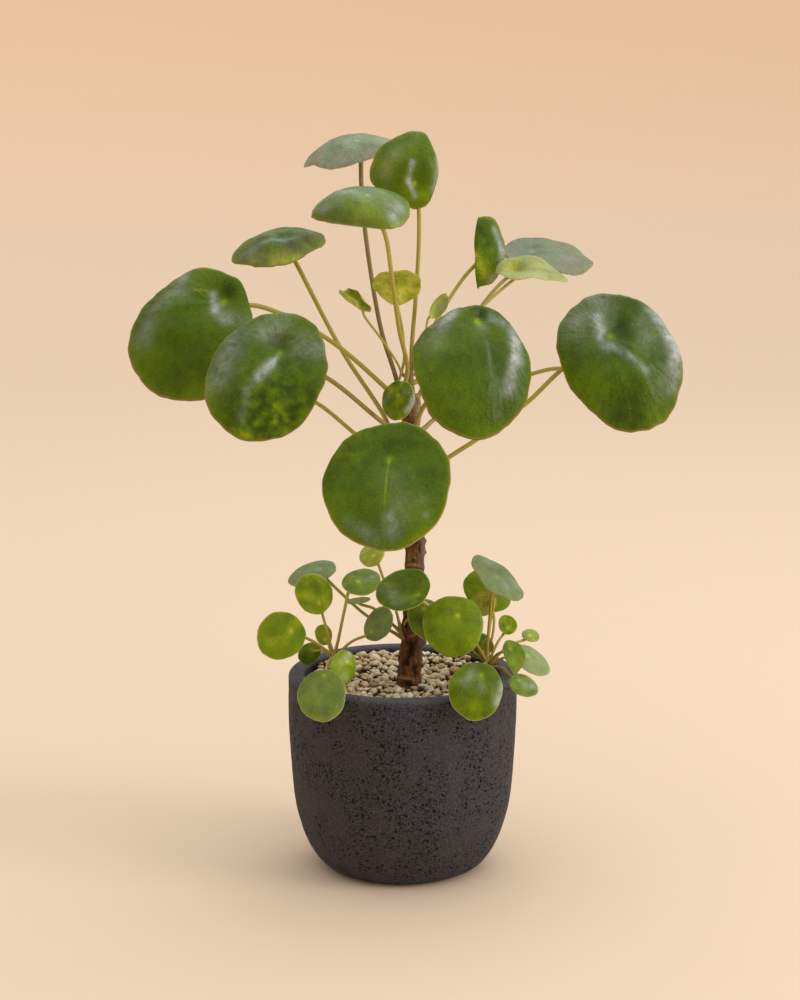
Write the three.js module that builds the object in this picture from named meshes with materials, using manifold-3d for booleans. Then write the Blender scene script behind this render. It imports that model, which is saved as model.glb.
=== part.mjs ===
// A potted pilea: a stoneware pot of soil topped with pumice grains, a woody trunk with
// round peltate leaves on long petioles, and small plantlets round its foot.
// Millimetres, +Z up, origin at the centre of the pot's foot, front of the plant toward -Y.
import * as THREE from 'three';
import { mergeVertices } from 'three/addons/utils/BufferGeometryUtils.js';
import Module from 'manifold-3d';

const wasm = await Module();
wasm.setup();

// ---- driving dimensions -------------------------------------------------------------

const GAP = 0.3; // clear space between neighbouring pieces

const POT = {
  height: 122,
  rimRadius: 70,
  footRadius: 42,
  innerRadius: 60, // at the mouth
  floor: 12, // thickness of the bottom
  lip: 3, // rounding of the rim's edges
  segments: 40,
};

const SOIL_TOP = 110;
const BED_RADIUS = 58.9; // of the soil's surface and the pumice on it, clear of the wall
const PUMICE = {
  bed: 114.2, // height of the layer that the grains stand in
  spacing: 11.2,
  jitter: 0.8, // how far a grain may stray each way
  radius: [4, 5.7],
  width: [0.8, 1], // of the radius
  thickness: [0.62, 0.76], // of the radius
  lean: 0.5,
  rise: 0.3,
  seed: 7,
};

const TRUNK = { bottom: 72, top: 306, sides: 12, levels: 29 };
const SCAR = { first: 126, last: 286, pitch: 8.6, turn: 137.5, height: 0.9, reach: 3.4 };

// The trunk's centre line (x, y) and radius at each height.
const TRUNK_STATIONS = [
  { z: 72, x: 3, y: -10, radius: 5.2 },
  { z: 115, x: 4, y: -10, radius: 6.7 },
  { z: 143, x: 5.8, y: -8, radius: 6.2 },
  { z: 198, x: 7.5, y: -6, radius: 5.6 },
  { z: 235, x: 6.9, y: -4, radius: 5.3 },
  { z: 271, x: 5.1, y: -2, radius: 4.6 },
  { z: 289, x: 4.5, y: 0, radius: 3.8 },
  { z: 306, x: 3.5, y: 0, radius: 2 },
];

// Blades are split into rings of points; centre and edge are their thickness there.
const BLADE = { around: 16, rings: 4, centre: 1.3, edge: 1 };
const YOUNG_BLADE = { around: 12, rings: 3, centre: 1.1, edge: 0.9 };
const SMALL_BLADE = { around: 12, rings: 2, centre: 1, edge: 0.85 };
const FULL_GROWN = 45; // length above which a leaf has the full blade

const RIM_WAVE = { slow: 0.02, quick: 0.01 }; // share of the blade's reach
const WELL_REACH = 0.16; // of the dimple at the navel, as a share of the length
const RIDGE_RADIUS = 1.5; // of the bend where a blade folds

const PETIOLE = { sides: 5, step: 17, rise: 0.35, leaving: 3.5, behind: 8 };
const SMALL_PETIOLE = { radius: 0.8, sides: 4, steps: 4, behind: 4, spacing: 0.7, arch: 0.12 };
const INTO_BLADE = 0.55; // how deep a petiole ends in its blade, of the thickness
const STEM = { sides: 8, steps: 6 };

// ---- solids and meshes ----------------------------------------------------------------

function solidOf(geometry) {
  const bare = geometry.index ? geometry.toNonIndexed() : geometry.clone();
  bare.deleteAttribute('normal');
  bare.deleteAttribute('uv');
  const merged = mergeVertices(bare, 1e-4);
  return new wasm.Manifold(new wasm.Mesh({
    numProp: 3,
    vertProperties: new Float32Array(merged.attributes.position.array),
    triVerts: new Uint32Array(merged.index.array),
  }));
}

function meshOf(solid, name, look) {
  const { vertProperties, triVerts } = solid.getMesh();
  const geometry = new THREE.BufferGeometry();
  geometry.setAttribute('position', new THREE.BufferAttribute(vertProperties, 3));
  geometry.setIndex(new THREE.BufferAttribute(triVerts, 1));
  geometry.computeVertexNormals();
  const mesh = new THREE.Mesh(geometry, new THREE.MeshStandardMaterial({ metalness: 0, ...look }));
  mesh.name = name;
  return mesh;
}

// A profile of radius and height, from the axis back to the axis, turned round the Z axis.
function turned(profile) {
  return solidOf(new THREE.LatheGeometry(profile, POT.segments).rotateX(Math.PI / 2));
}

function joined(solids) {
  return solids.reduce((whole, solid) => whole.add(solid));
}

function seededRandom(seed) {
  let state = seed;
  return () => {
    state = (state * 1664525 + 1013904223) % 4294967296;
    return state / 4294967296;
  };
}

const radians = THREE.MathUtils.degToRad;

// ---- pot ------------------------------------------------------------------------------

// The inner wall from the mouth down to the floor, as radius and height, moved inward.
function innerWall(inset, top) {
  const wall = new THREE.SplineCurve([
    new THREE.Vector2(POT.innerRadius, POT.height - POT.lip),
    new THREE.Vector2(POT.innerRadius - 0.6, 96),
    new THREE.Vector2(POT.innerRadius - 3, 58),
    new THREE.Vector2(POT.innerRadius - 9, 30),
    new THREE.Vector2(POT.footRadius - 6, POT.floor + 3),
  ]);
  return wall.getPoints(5)
    .map((point) => new THREE.Vector2(point.x - inset, point.y + inset))
    .filter((point) => point.y <= top);
}

function potSolid() {
  const outside = new THREE.SplineCurve([
    new THREE.Vector2(POT.footRadius, 0),
    new THREE.Vector2(50, 4),
    new THREE.Vector2(58.5, 16),
    new THREE.Vector2(65.3, 37),
    new THREE.Vector2(68.6, 66),
    new THREE.Vector2(POT.rimRadius, 100),
    new THREE.Vector2(POT.rimRadius, POT.height - POT.lip),
  ]);
  const outerLip = new THREE.EllipseCurve(
    POT.rimRadius - POT.lip, POT.height - POT.lip, POT.lip, POT.lip, 0, Math.PI / 2);
  const innerLip = new THREE.EllipseCurve(
    POT.innerRadius + POT.lip, POT.height - POT.lip, POT.lip, POT.lip, Math.PI / 2, Math.PI);
  const profile = [
    new THREE.Vector2(0, 0),
    ...outside.getPoints(8).slice(0, -1),
    ...outerLip.getPoints(2),
    ...innerLip.getPoints(2).slice(0, -1),
    ...innerWall(0, POT.height),
    new THREE.Vector2(0, POT.floor),
  ];
  return turned(profile);
}

// ---- trunk ----------------------------------------------------------------------------

const trunkLine = new THREE.CubicInterpolant(
  TRUNK_STATIONS.map((station) => station.z),
  TRUNK_STATIONS.flatMap((station) => [station.x, station.y, station.radius]),
  3);

function trunkAt(height) {
  const [x, y, radius] = trunkLine.evaluate(height);
  return { x, y, radius };
}

// Old leaf scars stand out as low knobs, one after another up a spiral.
function scarHeight(height, angle) {
  let swell = 0;
  for (let z = SCAR.first, i = 0; z <= SCAR.last; z += SCAR.pitch, i += 1) {
    const turned = Math.cos(angle - radians(i * SCAR.turn));
    const near = Math.exp(-(((height - z) / SCAR.reach) ** 2));
    swell += SCAR.height * near * Math.max(0, turned) ** 3;
  }
  return swell;
}

function trunkSolid(clearance) {
  const geometry = new THREE.CylinderGeometry(1, 1, 1, TRUNK.sides, TRUNK.levels);
  geometry.rotateX(Math.PI / 2);
  const position = geometry.attributes.position;
  const point = new THREE.Vector3();
  for (let i = 0; i < position.count; i += 1) {
    point.fromBufferAttribute(position, i);
    const bottom = TRUNK.bottom - clearance;
    const height = bottom + (point.z + 0.5) * (TRUNK.top + clearance - bottom);
    const angle = Math.atan2(point.y, point.x);
    const centre = trunkAt(THREE.MathUtils.clamp(height, TRUNK.bottom, TRUNK.top));
    const reach = Math.hypot(point.x, point.y);
    const radius = reach * (centre.radius + scarHeight(height, angle) + clearance);
    position.setXYZ(i, centre.x + radius * Math.cos(angle), centre.y + radius * Math.sin(angle), height);
  }
  return solidOf(geometry);
}

// ---- leaves ---------------------------------------------------------------------------

// A leaf's own axes: t toward its tip, s across it, n out of its upper face. At yaw 0 and
// tilt 0 the upper face looks toward -Y with the tip down; yaw turns it toward +X, tilt
// toward +Z, and turn swings the tip round in the blade's plane.
function leafFrame(leaf) {
  const yaw = radians(leaf.yaw);
  const tilt = radians(leaf.tilt);
  const normal = new THREE.Vector3(
    Math.sin(yaw) * Math.cos(tilt), -Math.cos(yaw) * Math.cos(tilt), Math.sin(tilt));
  const tip = new THREE.Vector3(
    Math.sin(yaw) * Math.sin(tilt), -Math.cos(yaw) * Math.sin(tilt), -Math.cos(tilt));
  tip.applyAxisAngle(normal, radians(leaf.turn));
  const side = new THREE.Vector3().crossVectors(normal, tip);
  return new THREE.Matrix4()
    .makeBasis(tip, side, normal)
    .setPosition(...leaf.navel);
}

// A point of the blade: u runs from the navel (0) to the rim (1), psi round it, and depth
// down from the upper face. The blade is domed, dimpled at the navel and waved at its rim.
// A fold lifts both halves about the midrib, and rollBack curls one edge down and under.
function bladePoint(leaf, u, psi, depth) {
  const { length, width, offset, dome, dimple = 0, ripple = 0, waves = 5, phase = 0 } = leaf;
  const wave = 1 + RIM_WAVE.slow * Math.sin(3 * psi + phase) + RIM_WAVE.quick * Math.sin(7 * psi);
  let t = u * (offset + (length / 2) * Math.cos(psi) * wave);
  let s = u * (width / 2) * Math.sin(psi) * wave;
  const fromCentre = ((t - offset) / (length / 2)) ** 2 + (s / (width / 2)) ** 2;
  const navelRise = dome * (offset / (length / 2)) ** 2;
  const well = dimple * (1 - Math.exp(-(t * t + s * s) / (WELL_REACH * length) ** 2));
  let h = navelRise - dome * fromCentre + well;
  h += ripple * u ** 3 * Math.sin(waves * psi + phase);
  const fold = radians(leaf.fold ?? 0);
  const ridge = Math.hypot(s, RIDGE_RADIUS);
  const folded = (ridge - RIDGE_RADIUS) * Math.sin(fold) + h * Math.cos(fold);
  s = s * Math.cos(fold) - (s / ridge) * h * Math.sin(fold);
  h = folded - depth / Math.cos(fold);
  if (leaf.rollBack) {
    const { from, toward, radius } = leaf.rollBack;
    const along = new THREE.Vector2(Math.cos(radians(toward)), Math.sin(radians(toward)));
    const past = t * along.x + s * along.y - from;
    if (past > 0) {
      const angle = past / radius;
      const shift = (radius + h) * Math.sin(angle) - past;
      t += along.x * shift;
      s += along.y * shift;
      h = (radius + h) * Math.cos(angle) - radius;
    }
  }
  return new THREE.Vector3(t, s, h);
}

// The blade is a polar grid laid out alike on its upper and lower face, closed at the rim.
function bladeSolid(leaf, mould) {
  const { around, rings, centre, edge } = mould;
  const frame = leafFrame(leaf);
  const vertices = [];
  const triangles = [];
  const perFace = 1 + rings * around;
  for (const face of [0, 1]) {
    for (let ring = 0; ring <= rings; ring += 1) {
      const u = ring / rings;
      const depth = face * THREE.MathUtils.lerp(centre, edge, u);
      for (let i = 0; i < (ring === 0 ? 1 : around); i += 1) {
        vertices.push(...bladePoint(leaf, u, (2 * Math.PI * i) / around, depth).applyMatrix4(frame));
      }
    }
  }
  const index = (ring, i) => (ring === 0 ? 0 : 1 + (ring - 1) * around + (i % around));
  const addFaces = (a, b, c) => {
    triangles.push(a, b, c);
    triangles.push(perFace + a, perFace + c, perFace + b);
  };
  for (let i = 0; i < around; i += 1) {
    addFaces(0, index(1, i), index(1, i + 1));
    for (let ring = 1; ring < rings; ring += 1) {
      addFaces(index(ring, i), index(ring + 1, i), index(ring + 1, i + 1));
      addFaces(index(ring, i), index(ring + 1, i + 1), index(ring, i + 1));
    }
    const [a, b] = [index(rings, i), index(rings, i + 1)];
    triangles.push(a, perFace + a, perFace + b);
    triangles.push(a, perFace + b, b);
  }
  const geometry = new THREE.BufferGeometry();
  geometry.setAttribute('position', new THREE.Float32BufferAttribute(vertices, 3));
  geometry.setIndex(triangles);
  return solidOf(geometry);
}

function rodSolid(points, radius, sides, steps) {
  const section = new THREE.Shape();
  for (let i = 0; i < sides; i += 1) {
    const angle = (2 * Math.PI * i) / sides;
    const corner = [radius * Math.cos(angle), radius * Math.sin(angle)];
    if (i === 0) section.moveTo(...corner);
    else section.lineTo(...corner);
  }
  const path = new THREE.CatmullRomCurve3(points, false, 'centripetal');
  return solidOf(new THREE.ExtrudeGeometry(section, { steps, extrudePath: path, bevelEnabled: false }));
}

// The petiole comes up to the navel from behind and ends inside the blade.
function petiolePoints(leaf, start, mould) {
  const frame = leafFrame(leaf);
  const normal = new THREE.Vector3().setFromMatrixColumn(frame, 2);
  const navel = new THREE.Vector3(...leaf.navel);
  return [
    ...start,
    ...(leaf.route ?? []).map((point) => new THREE.Vector3(...point)),
    navel.clone().addScaledVector(normal, -leaf.behind),
    navel.clone().addScaledVector(normal, -mould.centre * INTO_BLADE),
  ];
}

// ---- main leaves ----------------------------------------------------------------------

// Each petiole leaves the trunk at a height and an azimuth (0 toward -Y, 90 toward +X), and
// runs through its route to the navel. Stalk is its radius.
const MAIN_LEAVES = [
  {
    name: 'leaf_top_left', from: [284, -145], stalk: 1.45, color: '#4d6b24',
    navel: [-27.3, 50, 440.5], yaw: -50, tilt: 75, turn: -92,
    length: 59, width: 59.5, offset: 10, dome: 12, dimple: 2, ripple: 0.6,
    route: [[-5, 6, 305], [-13, 14, 330], [-23, 36, 390], [-25, 46, 415]],
  },
  {
    name: 'leaf_top', from: [294, 172], stalk: 1.35, color: '#5f8420',
    navel: [7, 0, 417], yaw: 0, tilt: 3, turn: -183,
    length: 44.5, width: 49, offset: 8, dome: 10.5, dimple: 4, fold: -6, ripple: 0.6, phase: 2,
    rollBack: { from: 6.5, toward: -86, radius: 10 },
    route: [[5.5, 9, 318], [8, 13, 350], [9.8, 14, 383], [9.5, 12, 403]],
  },
  {
    name: 'leaf_upper_middle', from: [291, -32], stalk: 1.4, color: '#4a6a22',
    navel: [-20, -40, 412], yaw: 0, tilt: 62, turn: -76,
    length: 59, width: 54.5, offset: 3.5, dome: 12.5, dimple: 3, fold: -7, ripple: 0.4, phase: 1,
    rollBack: { from: 12.5, toward: 63, radius: 13 },
    route: [[3, -8, 308], [-2, -20, 333], [-6, -30, 363], [-11, -37, 392]],
  },
  {
    name: 'leaf_upper_left', from: [258, -108], stalk: 1.45, color: '#4a6a22',
    navel: [-70, 25, 386.2], yaw: -34, tilt: 70, turn: -56,
    length: 58.5, width: 53.5, offset: 6.5, dome: 11, dimple: 2, ripple: 0.6, phase: 3,
    route: [[-12, 5, 280], [-36, 14, 316], [-60, 22, 361]],
  },
  {
    name: 'leaf_far_left', from: [286, -80], stalk: 1.5, color: '#3f6418',
    navel: [-105, -15, 348.3], yaw: -18, tilt: 20, turn: -41,
    length: 83.5, width: 77, offset: 27, dome: 8.5, dimple: 4.4, ripple: 0.8, phase: 4,
    rollBack: { from: 8.5, toward: 155, radius: 9.5 },
    route: [[-10, -1, 296], [-45, -3, 326], [-85, -3, 345]],
  },
  {
    name: 'leaf_mid_left', from: [265, -47], stalk: 1.5, color: '#4f7a1c',
    navel: [-69.4, -70, 325.3], yaw: -8, tilt: 23, turn: -28,
    length: 79.5, width: 67.5, offset: 15, dome: 8, dimple: 4, ripple: 0.6, phase: 5,
    route: [[-14, -14, 279], [-43, -43, 307]],
  },
  {
    name: 'leaf_front', from: [261, -6], stalk: 1.5, color: '#4f7f14',
    navel: [-7.6, -115, 271.5], yaw: -14, tilt: 27, turn: 0,
    length: 74.5, width: 73, offset: 14, dome: 4.5, dimple: 2, ripple: 0.6, phase: 0.5,
    route: [[5, -18, 265], [2, -50, 270], [-3, -90, 268]],
  },
  {
    name: 'leaf_mid_right', from: [272, 26], stalk: 1.5, color: '#45701c',
    navel: [41.4, -75, 343.2], yaw: 16, tilt: 25, turn: -11,
    length: 79.5, width: 68.5, offset: 29, dome: 10, dimple: 4.4, ripple: 0.8, phase: 1.5,
    rollBack: { from: 5, toward: 190, radius: 8.5 },
    route: [[10, -10, 281], [19, -24, 298], [33, -52, 326]],
  },
  {
    name: 'leaf_far_right', from: [242, 90], stalk: 1.5, color: '#547e1c',
    navel: [123.8, 0, 326.6], yaw: 13, tilt: 20, turn: 26,
    length: 89, width: 74.5, offset: 15.5, dome: 10.8, dimple: 4.8, ripple: 0.9, phase: 2.5,
    route: [[28, 0, 254], [45, 1, 265], [75, 3, 287], [94, 6, 305], [112, 9, 318]],
  },
  {
    name: 'leaf_folded', from: [298, 125], stalk: 1.2, color: '#62801f',
    navel: [54.5, 30, 372.3], yaw: 10, tilt: 14, turn: 182,
    length: 45, width: 37.5, offset: 3.5, dome: 2.5, dimple: 1.4, fold: -55, ripple: 0.4,
    route: [[10, 8, 316], [20, 16, 329], [30, 34, 344], [42, 51, 362]], behind: 13,
  },
  {
    name: 'leaf_back_right', from: [281, 142], stalk: 1.3, color: '#4d6a35',
    navel: [81.3, 85, 370.7], yaw: 27, tilt: 72, turn: 53,
    length: 58.5, width: 61.5, offset: 10, dome: 3, dimple: 2.4, ripple: 0.8, phase: 2,
    route: [[10, 12, 290], [29, 28, 315], [41, 40, 330], [52, 52, 344], [64, 68, 355]],
  },
  {
    name: 'leaf_small_pale', from: [290, 103], stalk: 1, color: '#91a43e',
    navel: [70.5, 22, 363.8], yaw: -4, tilt: 66, turn: 80,
    length: 37, width: 29.5, offset: 5, dome: 3.7, dimple: 0.8, fold: 23, ripple: 0.4, phase: 1,
    route: [[16, 3, 309], [37, 9, 333], [51, 14, 346], [62, 21, 354]], behind: 5,
  },
  {
    name: 'leaf_young_underside', from: [302, 225], stalk: 0.9, color: '#a9b04c',
    navel: [-3, 7, 348.5], yaw: 180, tilt: 45, turn: 180,
    length: 31, width: 30, offset: 11, dome: 3.8, dimple: 1.4, fold: 15,
    route: [[1, 3, 312], [0, 4, 330]], behind: 4,
  },
  {
    name: 'leaf_young_curled', from: [296, -85], stalk: 0.8, color: '#a7b53f',
    navel: [-23.4, -5, 344], yaw: -14, tilt: 62, turn: -135,
    length: 32, width: 16, offset: 8.7, dome: -1.5, dimple: 0.5, fold: 60,
    route: [[-1, -3, 306], [-12, -5, 325]], behind: 4,
  },
  {
    name: 'leaf_bud_pair', from: [303, 100], stalk: 0.7, color: '#b0b84e',
    navel: [17.2, 5, 338], yaw: 25, tilt: 13, turn: 139,
    length: 19, width: 11, offset: 8, dome: -4.8, fold: 28,
    route: [[9, 2, 312], [13, 5, 325]], behind: 3,
  },
  {
    name: 'leaf_cupped', from: [282, -15], stalk: 0.8, color: '#63811f',
    navel: [-2.6, -25, 295], yaw: -37, tilt: 15, turn: -21,
    length: 24, width: 24, offset: 3, dome: 2.5, dimple: 0.6,
    route: [[2, -9, 288]], behind: 6,
  },
  {
    name: 'leaf_behind_left', from: [242, -120], stalk: 1.4, color: '#4a6f1f',
    navel: [-87, 45, 301], yaw: -150, tilt: 50, turn: 20,
    length: 60, width: 56, offset: 9, dome: 7, dimple: 2, ripple: 0.6,
    route: [[-29, 10, 267], [-53, 24, 284]],
  },
  {
    name: 'leaf_behind_right', from: [268, 118], stalk: 1.4, color: '#4a6f1f',
    navel: [122, 50, 300], yaw: 140, tilt: 48, turn: -20,
    length: 58, width: 54, offset: 9, dome: 7, dimple: 2, ripple: 0.6,
    route: [[22, 8, 278], [79, 34, 300], [100, 43, 302]],
  },
];

function mainLeafSolid(leaf, mould, trunkClear) {
  const [height, azimuth] = leaf.from;
  const centre = trunkAt(height);
  const outward = new THREE.Vector3(
    Math.sin(radians(azimuth)), -Math.cos(radians(azimuth)), PETIOLE.rise);
  const start = new THREE.Vector3(centre.x, centre.y, height);
  const leaving = start.clone().addScaledVector(outward, centre.radius + PETIOLE.leaving);
  const line = petiolePoints({ behind: PETIOLE.behind, ...leaf }, [start, leaving], mould);
  const steps = Math.max(6, Math.round(line.at(0).distanceTo(line.at(-1)) / PETIOLE.step));
  return bladeSolid(leaf, mould)
    .add(rodSolid(line, leaf.stalk, PETIOLE.sides, steps))
    .subtract(trunkClear);
}

// ---- side shoot and plantlets -----------------------------------------------------------

// A plantlet leaf in short: its navel, [yaw, tilt, turn], [length, width], its offset, and
// what else shapes it.
function small(navel, [yaw, tilt, turn], [length, width], offset, shape = {}) {
  return { navel, yaw, tilt, turn, length, width, offset, dome: 2, ...shape };
}

const SIDE_SHOOT = {
  name: 'side_shoot',
  color: '#7d9c2b',
  stem: [[4, -8, 140], [-3, -8.5, 145], [-6, -9, 150]],
  stemRadius: 1.9,
  leaves: [
    small([-51, 18, 181.5], [-45, 64, -56], [32, 28], 5.5, { route: [[-21, 3, 155], [-33, 11, 166]] }),
    small([-26.6, 3, 165.8], [-83, 83, 79], [15.5, 15.5], 3.5, { dome: -0.7, route: [[-17, -2, 161]] }),
    small([-17.8, 20, 185.7], [-53, 45, -105], [15.5, 14], 2.5, { route: [[-3, 2, 162]] }),
    small([13, -24, 165.8], [14, 39, 26], [31, 25], 6.5, { dome: 4, route: [[-3, -16, 154]] }),
  ],
};

const PLANTLET_LEFT = {
  name: 'plantlet_left',
  color: '#83a52a',
  stem: [[-43, -10, 84], [-43, -10, 115], [-42, -10, 135]],
  stemRadius: 2,
  leaves: [
    small([-50.4, -6, 165.5], [-3, 23, -150], [26.5, 22.5], 7, { dome: 1 }),
    small([-66.5, -25, 153], [-8, 27, -67], [30, 30], 7),
    small([-45.7, -66, 136.3], [-1, 24, -5], [31, 28.5], 11.5),
    small([-32.7, -45, 139], [43, 20, -48], [23, 18.5], 4, { dimple: 1.2 }),
    small([-55.6, 4, 134], [5, 38, -41], [16.5, 13], 2),
    small([-26.7, -8, 179.6], [-11, 60, 118], [24, 24.5], 2, {
      dome: 1, route: [[-38, -10, 143], [-34, -10, 163]],
    }),
    small([-18.8, -18, 151], [-44, 30, 163], [23, 22], 6),
    small([-47, -2, 141.7], [-12, 19, -159], [10, 8.5], 3, { fold: 35 }),
  ],
};

const PLANTLET_RIGHT = {
  name: 'plantlet_right',
  color: '#86a82b',
  stem: [[49.6, -5, 84], [49.6, -5, 115], [51, -4, 129]],
  stemRadius: 2.1,
  leaves: [
    small([32.4, -40, 166], [6, 20, -23], [37, 36.5], 6.5, { dome: 3, dimple: 1 }),
    small([45.8, -68, 137], [11, 18, -23], [34.5, 32.5], 9.5, { dome: 3, dimple: 1 }),
    small([9.2, -44, 179.7], [-18, 54, -110], [33, 34], 11, {
      dome: 1, route: [[31, -26, 150], [20, -37, 168]],
    }),
    small([56.3, -20, 185.3], [58, 50, 15], [38.5, 33], 1, { dimple: 1.5, route: [[53, -8, 160]] }),
    small([53.1, 15, 169.5], [10, 27, -122], [32, 27], 0, { route: [[56, 4, 152]] }),
    small([54.8, 0, 167.1], [197, 16, 67], [18.5, 19], 6.5, { dome: 1, fold: 6 }),
    small([64.2, -35, 144.2], [43, 35, 19], [24, 19], 6.3, {
      dome: 1.3, dimple: 1.5, rollBack: { from: 3.5, toward: 8, radius: 9.7 },
    }),
    small([75.9, -10, 134], [33, 48, 29], [26.5, 19.5], 3.5, { dome: 1 }),
    small([68.7, -50, 129.3], [19, 54, 30], [19, 16.5], 3.7, { dome: 1 }),
    small([77.9, 10, 141.6], [29, 58, 111], [12.5, 11], 2, { dome: 1 }),
    small([64.5, 5, 147.3], [14, 33, 179], [13, 12], 2, { dome: -1 }),
    small([52.3, -2, 135.5], [-22, -5, 176], [10, 7.5], 2.7, { dome: -1.5 }),
    small([48.3, 8, 134], [-17, 35, -143], [18, 16], 3),
  ],
};

function stemSolid(plantlet, clearance) {
  const points = plantlet.stem.map((point) => new THREE.Vector3(...point));
  points[0].z -= clearance;
  return rodSolid(points, plantlet.stemRadius + clearance, STEM.sides, STEM.steps);
}

// Petioles rise from the stem's top, leaning toward their leaf, and arch over to its back.
function plantletSolid(plantlet) {
  const crown = new THREE.Vector3(...plantlet.stem.at(-1));
  const pieces = [stemSolid(plantlet, 0)];
  for (const [i, leaf] of plantlet.leaves.entries()) {
    const root = crown.clone().setZ(crown.z - SMALL_PETIOLE.spacing * (i + 2));
    const navel = new THREE.Vector3(...leaf.navel);
    const arch = crown.clone().lerp(navel, 0.45);
    arch.z += SMALL_PETIOLE.arch * Math.hypot(navel.x - crown.x, navel.y - crown.y);
    const start = leaf.route ? [root] : [root, arch];
    const line = petiolePoints({ behind: SMALL_PETIOLE.behind, ...leaf }, start, SMALL_BLADE);
    pieces.push(bladeSolid(leaf, SMALL_BLADE));
    pieces.push(rodSolid(line, SMALL_PETIOLE.radius, SMALL_PETIOLE.sides, SMALL_PETIOLE.steps));
  }
  return joined(pieces);
}

// ---- soil and pumice --------------------------------------------------------------------

// Soil fills the pot up to the pumice, with a plain hole round each stem.
function pottingMixSolid(stemsClear) {
  return turned([
    new THREE.Vector2(0, POT.floor + GAP),
    ...innerWall(GAP, SOIL_TOP).reverse(),
    new THREE.Vector2(BED_RADIUS, SOIL_TOP),
    new THREE.Vector2(0, SOIL_TOP),
  ]).subtract(stemsClear);
}

// Grains stand on a jittered triangular grid, each a rounded lump sunk to its middle in the bed.
function pumiceSolid(stemsClear) {
  const random = seededRandom(PUMICE.seed);
  const between = ([low, high]) => THREE.MathUtils.lerp(low, high, random());
  const pieces = [turned([
    new THREE.Vector2(0, SOIL_TOP + GAP),
    new THREE.Vector2(BED_RADIUS, SOIL_TOP + GAP),
    new THREE.Vector2(BED_RADIUS, PUMICE.bed),
    new THREE.Vector2(0, PUMICE.bed),
  ])];
  const rowStep = PUMICE.spacing * Math.sqrt(3) / 2;
  const rows = Math.ceil(BED_RADIUS / rowStep);
  for (let row = -rows; row <= rows; row += 1) {
    for (let column = -rows; column <= rows; column += 1) {
      const radius = between(PUMICE.radius);
      const shift = row % 2 === 0 ? 0 : PUMICE.spacing / 2;
      const x = column * PUMICE.spacing + shift + between([-PUMICE.jitter, PUMICE.jitter]);
      const y = row * rowStep + between([-PUMICE.jitter, PUMICE.jitter]);
      const grain = new THREE.IcosahedronGeometry(radius, 0);
      grain.scale(1, between(PUMICE.width), between(PUMICE.thickness));
      grain.rotateX(between([0, PUMICE.lean]));
      grain.rotateZ(between([0, Math.PI]));
      grain.translate(x, y, PUMICE.bed + PUMICE.rise);
      if (Math.hypot(x, y) + radius < BED_RADIUS) pieces.push(solidOf(grain));
    }
  }
  return joined(pieces).subtract(stemsClear);
}

// ---- the whole plant --------------------------------------------------------------------

const plant = new THREE.Group();

const trunkClear = trunkSolid(GAP);
const stemsClear = joined([trunkClear, stemSolid(PLANTLET_LEFT, GAP), stemSolid(PLANTLET_RIGHT, GAP)]);

plant.add(meshOf(potSolid(), 'pot', { color: '#3f3835', roughness: 0.8 }));
plant.add(meshOf(pottingMixSolid(stemsClear), 'potting_mix', { color: '#3a2a1d', roughness: 1 }));
plant.add(meshOf(pumiceSolid(stemsClear), 'pumice_gravel', { color: '#cdb996', roughness: 0.95 }));
plant.add(meshOf(trunkSolid(0), 'trunk', { color: '#41281a', roughness: 0.85 }));

for (const leaf of MAIN_LEAVES) {
  const mould = leaf.length > FULL_GROWN ? BLADE : YOUNG_BLADE;
  const solid = mainLeafSolid(leaf, mould, trunkClear);
  plant.add(meshOf(solid, leaf.name, { color: leaf.color, roughness: 0.35 }));
}

for (const plantlet of [SIDE_SHOOT, PLANTLET_LEFT, PLANTLET_RIGHT]) {
  const solid = plantletSolid(plantlet).subtract(trunkClear);
  plant.add(meshOf(solid, plantlet.name, { color: plantlet.color, roughness: 0.4 }));
}

export default plant;
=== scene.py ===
# A potted pilea: dark stoneware pot, pumice over soil, a woody stem, round peltate leaves
# and three small plantlets. The tables are in millimetres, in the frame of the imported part.
import math
import random

import bmesh
import bpy
from mathutils import Matrix, Vector, noise


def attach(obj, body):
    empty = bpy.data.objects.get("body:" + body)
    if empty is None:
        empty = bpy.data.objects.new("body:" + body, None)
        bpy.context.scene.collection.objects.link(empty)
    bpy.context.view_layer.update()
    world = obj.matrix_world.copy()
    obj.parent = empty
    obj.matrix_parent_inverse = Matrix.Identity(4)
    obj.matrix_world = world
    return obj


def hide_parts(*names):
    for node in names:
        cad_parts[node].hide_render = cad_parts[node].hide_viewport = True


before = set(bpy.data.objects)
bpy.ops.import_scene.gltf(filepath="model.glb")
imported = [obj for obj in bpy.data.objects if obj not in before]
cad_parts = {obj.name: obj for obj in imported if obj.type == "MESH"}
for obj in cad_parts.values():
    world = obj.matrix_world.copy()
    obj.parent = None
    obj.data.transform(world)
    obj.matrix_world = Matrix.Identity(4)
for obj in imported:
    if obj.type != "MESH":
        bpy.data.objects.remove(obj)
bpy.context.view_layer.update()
mm = 0.001


def lerp(a, b, share):
    return a + (b - a) * share


def smooth(low, high, x):
    k = min(1.0, max(0.0, (x - low) / (high - low)))
    return k * k * (3 - 2 * k)


def lumpy(point, scale, seed=0.0):
    return noise.noise(Vector(point) / scale + Vector((seed, 1.7 * seed, -seed)))


def bell(distance, width):
    return math.exp(-(distance / width) ** 2)


def angleFrom(angle, degrees):
    # the shorter way round, in radians
    return (angle - math.radians(degrees) + math.pi) % (2 * math.pi) - math.pi


# shader nodes

def rgb(red, green, blue):  # from screen values of 0 to 255
    return tuple((c / 255) ** 2.2 for c in (red, green, blue)) + (1.0,)


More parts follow.
